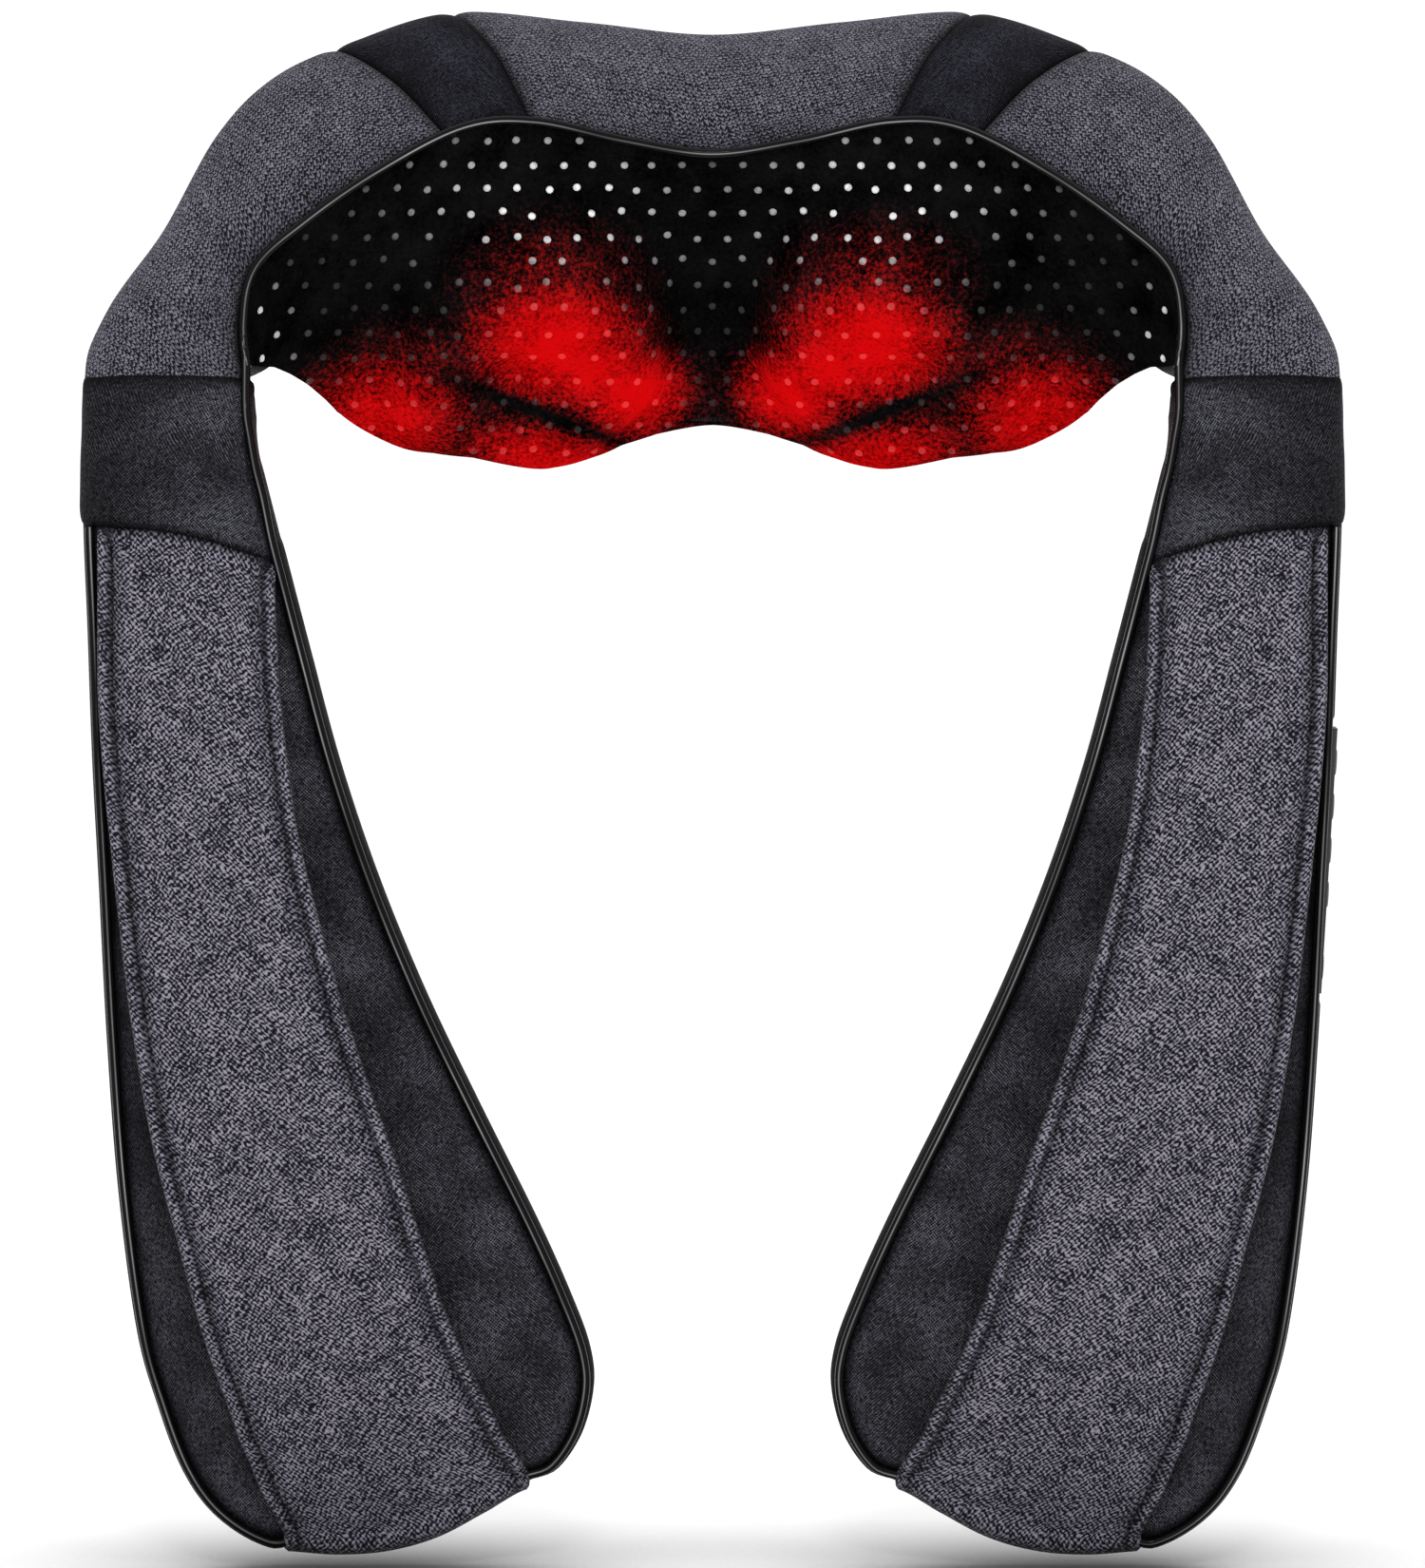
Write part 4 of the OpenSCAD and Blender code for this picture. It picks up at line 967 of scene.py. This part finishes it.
# Where the pad's inner wall lies inside the patch, and how far it is tucked in there, in metres
TUCK_FROM_Z, TUCK_TO_X, TUCK = -0.074, 0.158, 0.0019


def tuck_into_patch(pad, sign):
    """Inside the patch, the pad's inner wall keeps behind the patch's wall."""
    for v in pad.data.vertices:
        up, inward = (v.co.z - TUCK_FROM_Z) / 0.014, (TUCK_TO_X - abs(v.co.x)) / 0.012
        share = min(max(up, 0), 1) * min(max(inward, 0), 1)
        v.co.x += sign * TUCK * share * share * (3 - 2 * share)


for side, sign in SIDES.items():
    pad = closed_pad(side + "_strap_pad", sign, side + "_strap")
    tuck_into_patch(pad, sign)
    if side == "right":
        pocket_for_panel(pad)
    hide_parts(side + "_strap_front", side + "_strap_back", side + "_strap_foam", side + "_strap_cuff")

    rings = patch_rings()
    away = unit(rings - rings.mean(axis=1, keepdims=True))
    run = run_length(rings, 0)
    far = np.minimum(run, run[-1:] - run)
    outer = rings - away * pillow(far, 5.0, 1.5)[..., None]
    # Painted shade and light on the patch: dark beside the piping, lighter on the neck side and darker on the
    # outer side, and darker at both seams, most under the collar at the top.
    painted_shade_by_piping = 0.3 + 0.7 * ease((rings[..., 0] - inner_edge(rings[..., 2]) - 2.6) / 2)
    painted_side_light = 1.3 - 0.85 * ease((rings[..., 0] - 152) / 42)
    shade = seam_shade(run, 4.2, 0.95) * seam_shade(run[-1:] - run, 2.2, 0.85) * painted_shade_by_piping * painted_side_light
    patch = closed_sleeve(side + "_patch", outer, rings - away * 2.8, COATED, sign, cloth_uv(rings), shade)
    bend_at_joint(patch)
    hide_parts(side + "_shoulder_patch")

# ---- the piping ----
pipe_s = np.linspace(-7.75, 7.75, 420)
pipe_line, pipe_centres = collar_points(pipe_s, np.array([0.0]))
pipe_line, pipe_centres = pipe_line[:, 0], pipe_centres[:, 0]
pipe_line = pipe_line - unit(pipe_centres - pipe_line) * 1.3
collar_piping = tube("collar_edge_piping", pipe_line, PIPING_R, PIPING, "collar")
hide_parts("collar_piping")

seam_y = mid_y(seam_xz[:, 1]) - half_t(seam_xz[:, 1]) + 0.4
strap_seam = np.stack([seam_xz[:, 0], seam_y, seam_xz[:, 1]], -1)
strap_seam[:, [0, 2]] -= inward * 1.6
cut = np.argmax(strap_seam[:, 2] < -68)
last_seam = len(strap_seam) - np.argmax(strap_seam[::-1, 2] < -64)
beside_z = np.linspace(-26, -62, 24)
beside = np.stack([inner_edge(beside_z) + 2.1, mid_y(beside_z) - half_t(beside_z) - 0.4, beside_z], -1)
knots = np.concatenate([pipe_line[-14::5], beside[2::6], strap_seam[cut:cut + 9:4]])
bridge = along(knots, np.linspace(0, len(knots) - 1, 90))
for side, sign in SIDES.items():
    line = np.concatenate([bridge, strap_seam[cut + 9:last_seam]]) * [sign, 1, 1]
    piping = tube(side + "_strap_edge_piping", line, PIPING_R, PIPING, None)
    bend_at_joint(piping)
    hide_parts(side + "_strap_piping")

# ---- the hand loops ----
LOOP_GAP = 18
HEM = 4.6
TURN_DEPTH = 5.0             # how far the loop hangs below the strap's tip where it turns
TUCK_UP = 22                 # how far it goes up the strap's back


def loop_edge(z, k):
    return at_height(LOOP_EDGES, z, k)


def loop_grid(cols=73, rows=200):
    """The right hand loop's middle surface: from under the patch, arched off the strap, and round its tip."""
    q = np.linspace(0, 1, cols)
    bottom = along(LOOP_BOTTOM, q * (len(LOOP_BOTTOM) - 1))
    p = []
    for j in range(cols):
        zb = bottom[j]
        seam = seam_height(loop_edge(-72, 1) + (loop_edge(-72, 2) - loop_edge(-72, 1)) * q[j])
        top_z = seam + 4
        z = top_z + (zb + TURN_DEPTH - top_z) * np.linspace(0, 1, rows)
        x = loop_edge(z, 1) + (loop_edge(z, 2) - loop_edge(z, 1)) * q[j]
        off = np.clip((seam - 4 - z) / (seam - 4 - (zb + TURN_DEPTH)), 0, 1)
        arch = LOOP_GAP * np.sin(np.pi * off) ** 1.15
        surface = front_at(x, z)
        side_of = ease(1 - np.minimum(q[j], 1 - q[j]) / 0.16)
        y = surface - 0.9 - arch + 4 * ease((z - seam + 2) / 5) + 5 * side_of * ease((z - seam + 7) / 7)
        column = np.stack([x, y, z], -1)
        low = column[-1]
        half = half_t(np.array([zb]))[0] + 1.6
        middle = mid_y(np.array([zb]))[0]
        turn = np.linspace(0, np.pi, 26)[1:]
        arc_y = middle - np.where(turn < np.pi / 2, middle - low[1], half) * np.cos(turn)
        arc = np.stack([np.full_like(turn, low[0]), arc_y, low[2] - TURN_DEPTH * np.sin(turn) ** 0.8], -1)
        up = np.linspace(0, TUCK_UP, 16)[1:]
        back_y = arc[-1, 1] + 1.2 * ease(up / TUCK_UP)
        back = np.stack([np.full_like(up, low[0]), back_y, arc[-1, 2] + up], -1)
        p.append(np.concatenate([column, arc, back]))
    return np.array(p).transpose(1, 0, 2)


loop_mid = loop_grid()
loop_n = grid_normals(loop_mid, np.broadcast_to(np.array([110.0, -50, -230]), loop_mid.shape))
across_run, down_run = run_length(loop_mid, 1), run_length(loop_mid, 0)
from_edge = np.minimum(across_run, across_run[:, -1:] - across_run)
groove = np.exp(-((from_edge - HEM) / 0.9) ** 2)
hem_swell = 1.9 * np.sqrt(np.clip(1 - ((from_edge - HEM / 2) / (HEM / 2)) ** 2, 0, 1)) * (from_edge < HEM)
beside_hem = 0.5 * ease((from_edge - HEM) / 5)
turned_in = ease((down_run - down_run[-1:] + 52) / 14)
height = 0.8 + (hem_swell + beside_hem - 1.5 * groove) * (1 - turned_in) + 0.4 * turned_in
# Painted shade on the band: dark just under the patch's seam, in the hem's groove, softer beside it, and at
# the band's edges.
painted_fold_shade = np.exp(-((from_edge - HEM - 2.2) / 2.2) ** 2)
painted_hem_edge_shade = np.exp(-(from_edge / 0.8) ** 2)
painted_loop_shade = ease((down_run - 4.5) / 5) * (1 - 0.85 * groove) * (1 - 0.3 * painted_fold_shade) * (1 - 0.75 * painted_hem_edge_shade)
rim = np.minimum(1, np.sqrt(np.clip(from_edge / 1.0, 0, 1)) + 0.25)
loop_outer = loop_mid + loop_n * (height * rim)[..., None]
loop_inner = loop_mid - loop_n * (0.6 * rim)[..., None]
uv = np.stack([across_run - across_run[:, -1:] / 2, down_run], -1)
for side, sign in SIDES.items():
    outer, inner = loop_outer * [sign, 1, 1], loop_inner * [sign, 1, 1]
    band = shell(side + "_hand_band", outer, inner, LOOP_CLOTH, side + "_strap", uv,
                 painted_loop_shade)
    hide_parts(side + "_hand_loop")

# ---- light, ground and camera ----
scene = bpy.context.scene
floor_z = float(cad_box[0][2]) - 0.0008
world = bpy.data.worlds.new("studio")
scene.world = world
world.use_nodes = True
world.node_tree.nodes["Background"].inputs[0].default_value = (1, 1, 1, 1)
world.node_tree.nodes["Background"].inputs[1].default_value = 1.13

mesh = bpy.data.meshes.new("floor")
mesh.from_pydata([(-6, -6, floor_z), (6, -6, floor_z), (6, 6, floor_z), (-6, 6, floor_z)], [], [[0, 1, 2, 3]])
ground = bpy.data.objects.new("floor", mesh)
scene.collection.objects.link(ground)
paper = Nodes("paper")
paper_grain = paper.noise(paper.add("TexCoord").outputs["Object"], 40, 3.0)
# Painted shadow: the paper's colour is darkened where the part stands close over it, from ambient occlusion.
near = paper.add("AmbientOcclusion", {"Distance": 0.11}).outputs["AO"]
near = paper.math("MULTIPLY_ADD", near, 2.2, -1.2, clamp=True)
paper_tint = paper.mix(paper_grain, (0.93, 0.93, 0.93), (0.95, 0.95, 0.95))
mesh.materials.append(paper.finish(Base_Color=paper.mix(near, (0.12, 0.12, 0.12), paper_tint), Roughness=0.95,
                                   Specular_IOR_Level=0.1))


def area_light(name, place, aim, size, power):
    data = bpy.data.lights.new(name, "AREA")
    data.shape, data.size, data.size_y, data.energy = "RECTANGLE", size[0], size[1], power
    light = bpy.data.objects.new(name, data)
    scene.collection.objects.link(light)
    light.location = place
    direction = np.array(aim, float) - np.array(place, float)
    light.rotation_mode = "QUATERNION"
    light.rotation_quaternion = Vector(direction).to_track_quat("-Z", "Y")


area_light("key", (0, -2.0, 1.0), (0, 0, -0.15), (0.4, 0.2), 11)
area_light("above", (0, 0.1, 2.0), (0, 0.1, -0.4), (2.0, 0.8), 10)

camera_data = bpy.data.cameras.new("camera")
camera = bpy.data.objects.new("camera", camera_data)
scene.collection.objects.link(camera)
scene.camera = camera
CAMERA_AWAY = 3.0
CAMERA_UP = math.radians(3.5)
FACE_Y, AIM_Z = -0.06, -0.1476
FRAME_H = 0.495
camera_data.sensor_fit = "VERTICAL"
camera_data.sensor_height = 36
camera_data.lens = 36 * CAMERA_AWAY / FRAME_H
camera.location = (0, FACE_Y - CAMERA_AWAY * math.cos(CAMERA_UP), AIM_Z + CAMERA_AWAY * math.sin(CAMERA_UP))
camera.rotation_euler = (math.pi / 2 - CAMERA_UP, 0, 0)
camera_data.dof.use_dof = False
camera_data.clip_start, camera_data.clip_end = 0.05, 20
scene.view_settings.view_transform = "Standard"
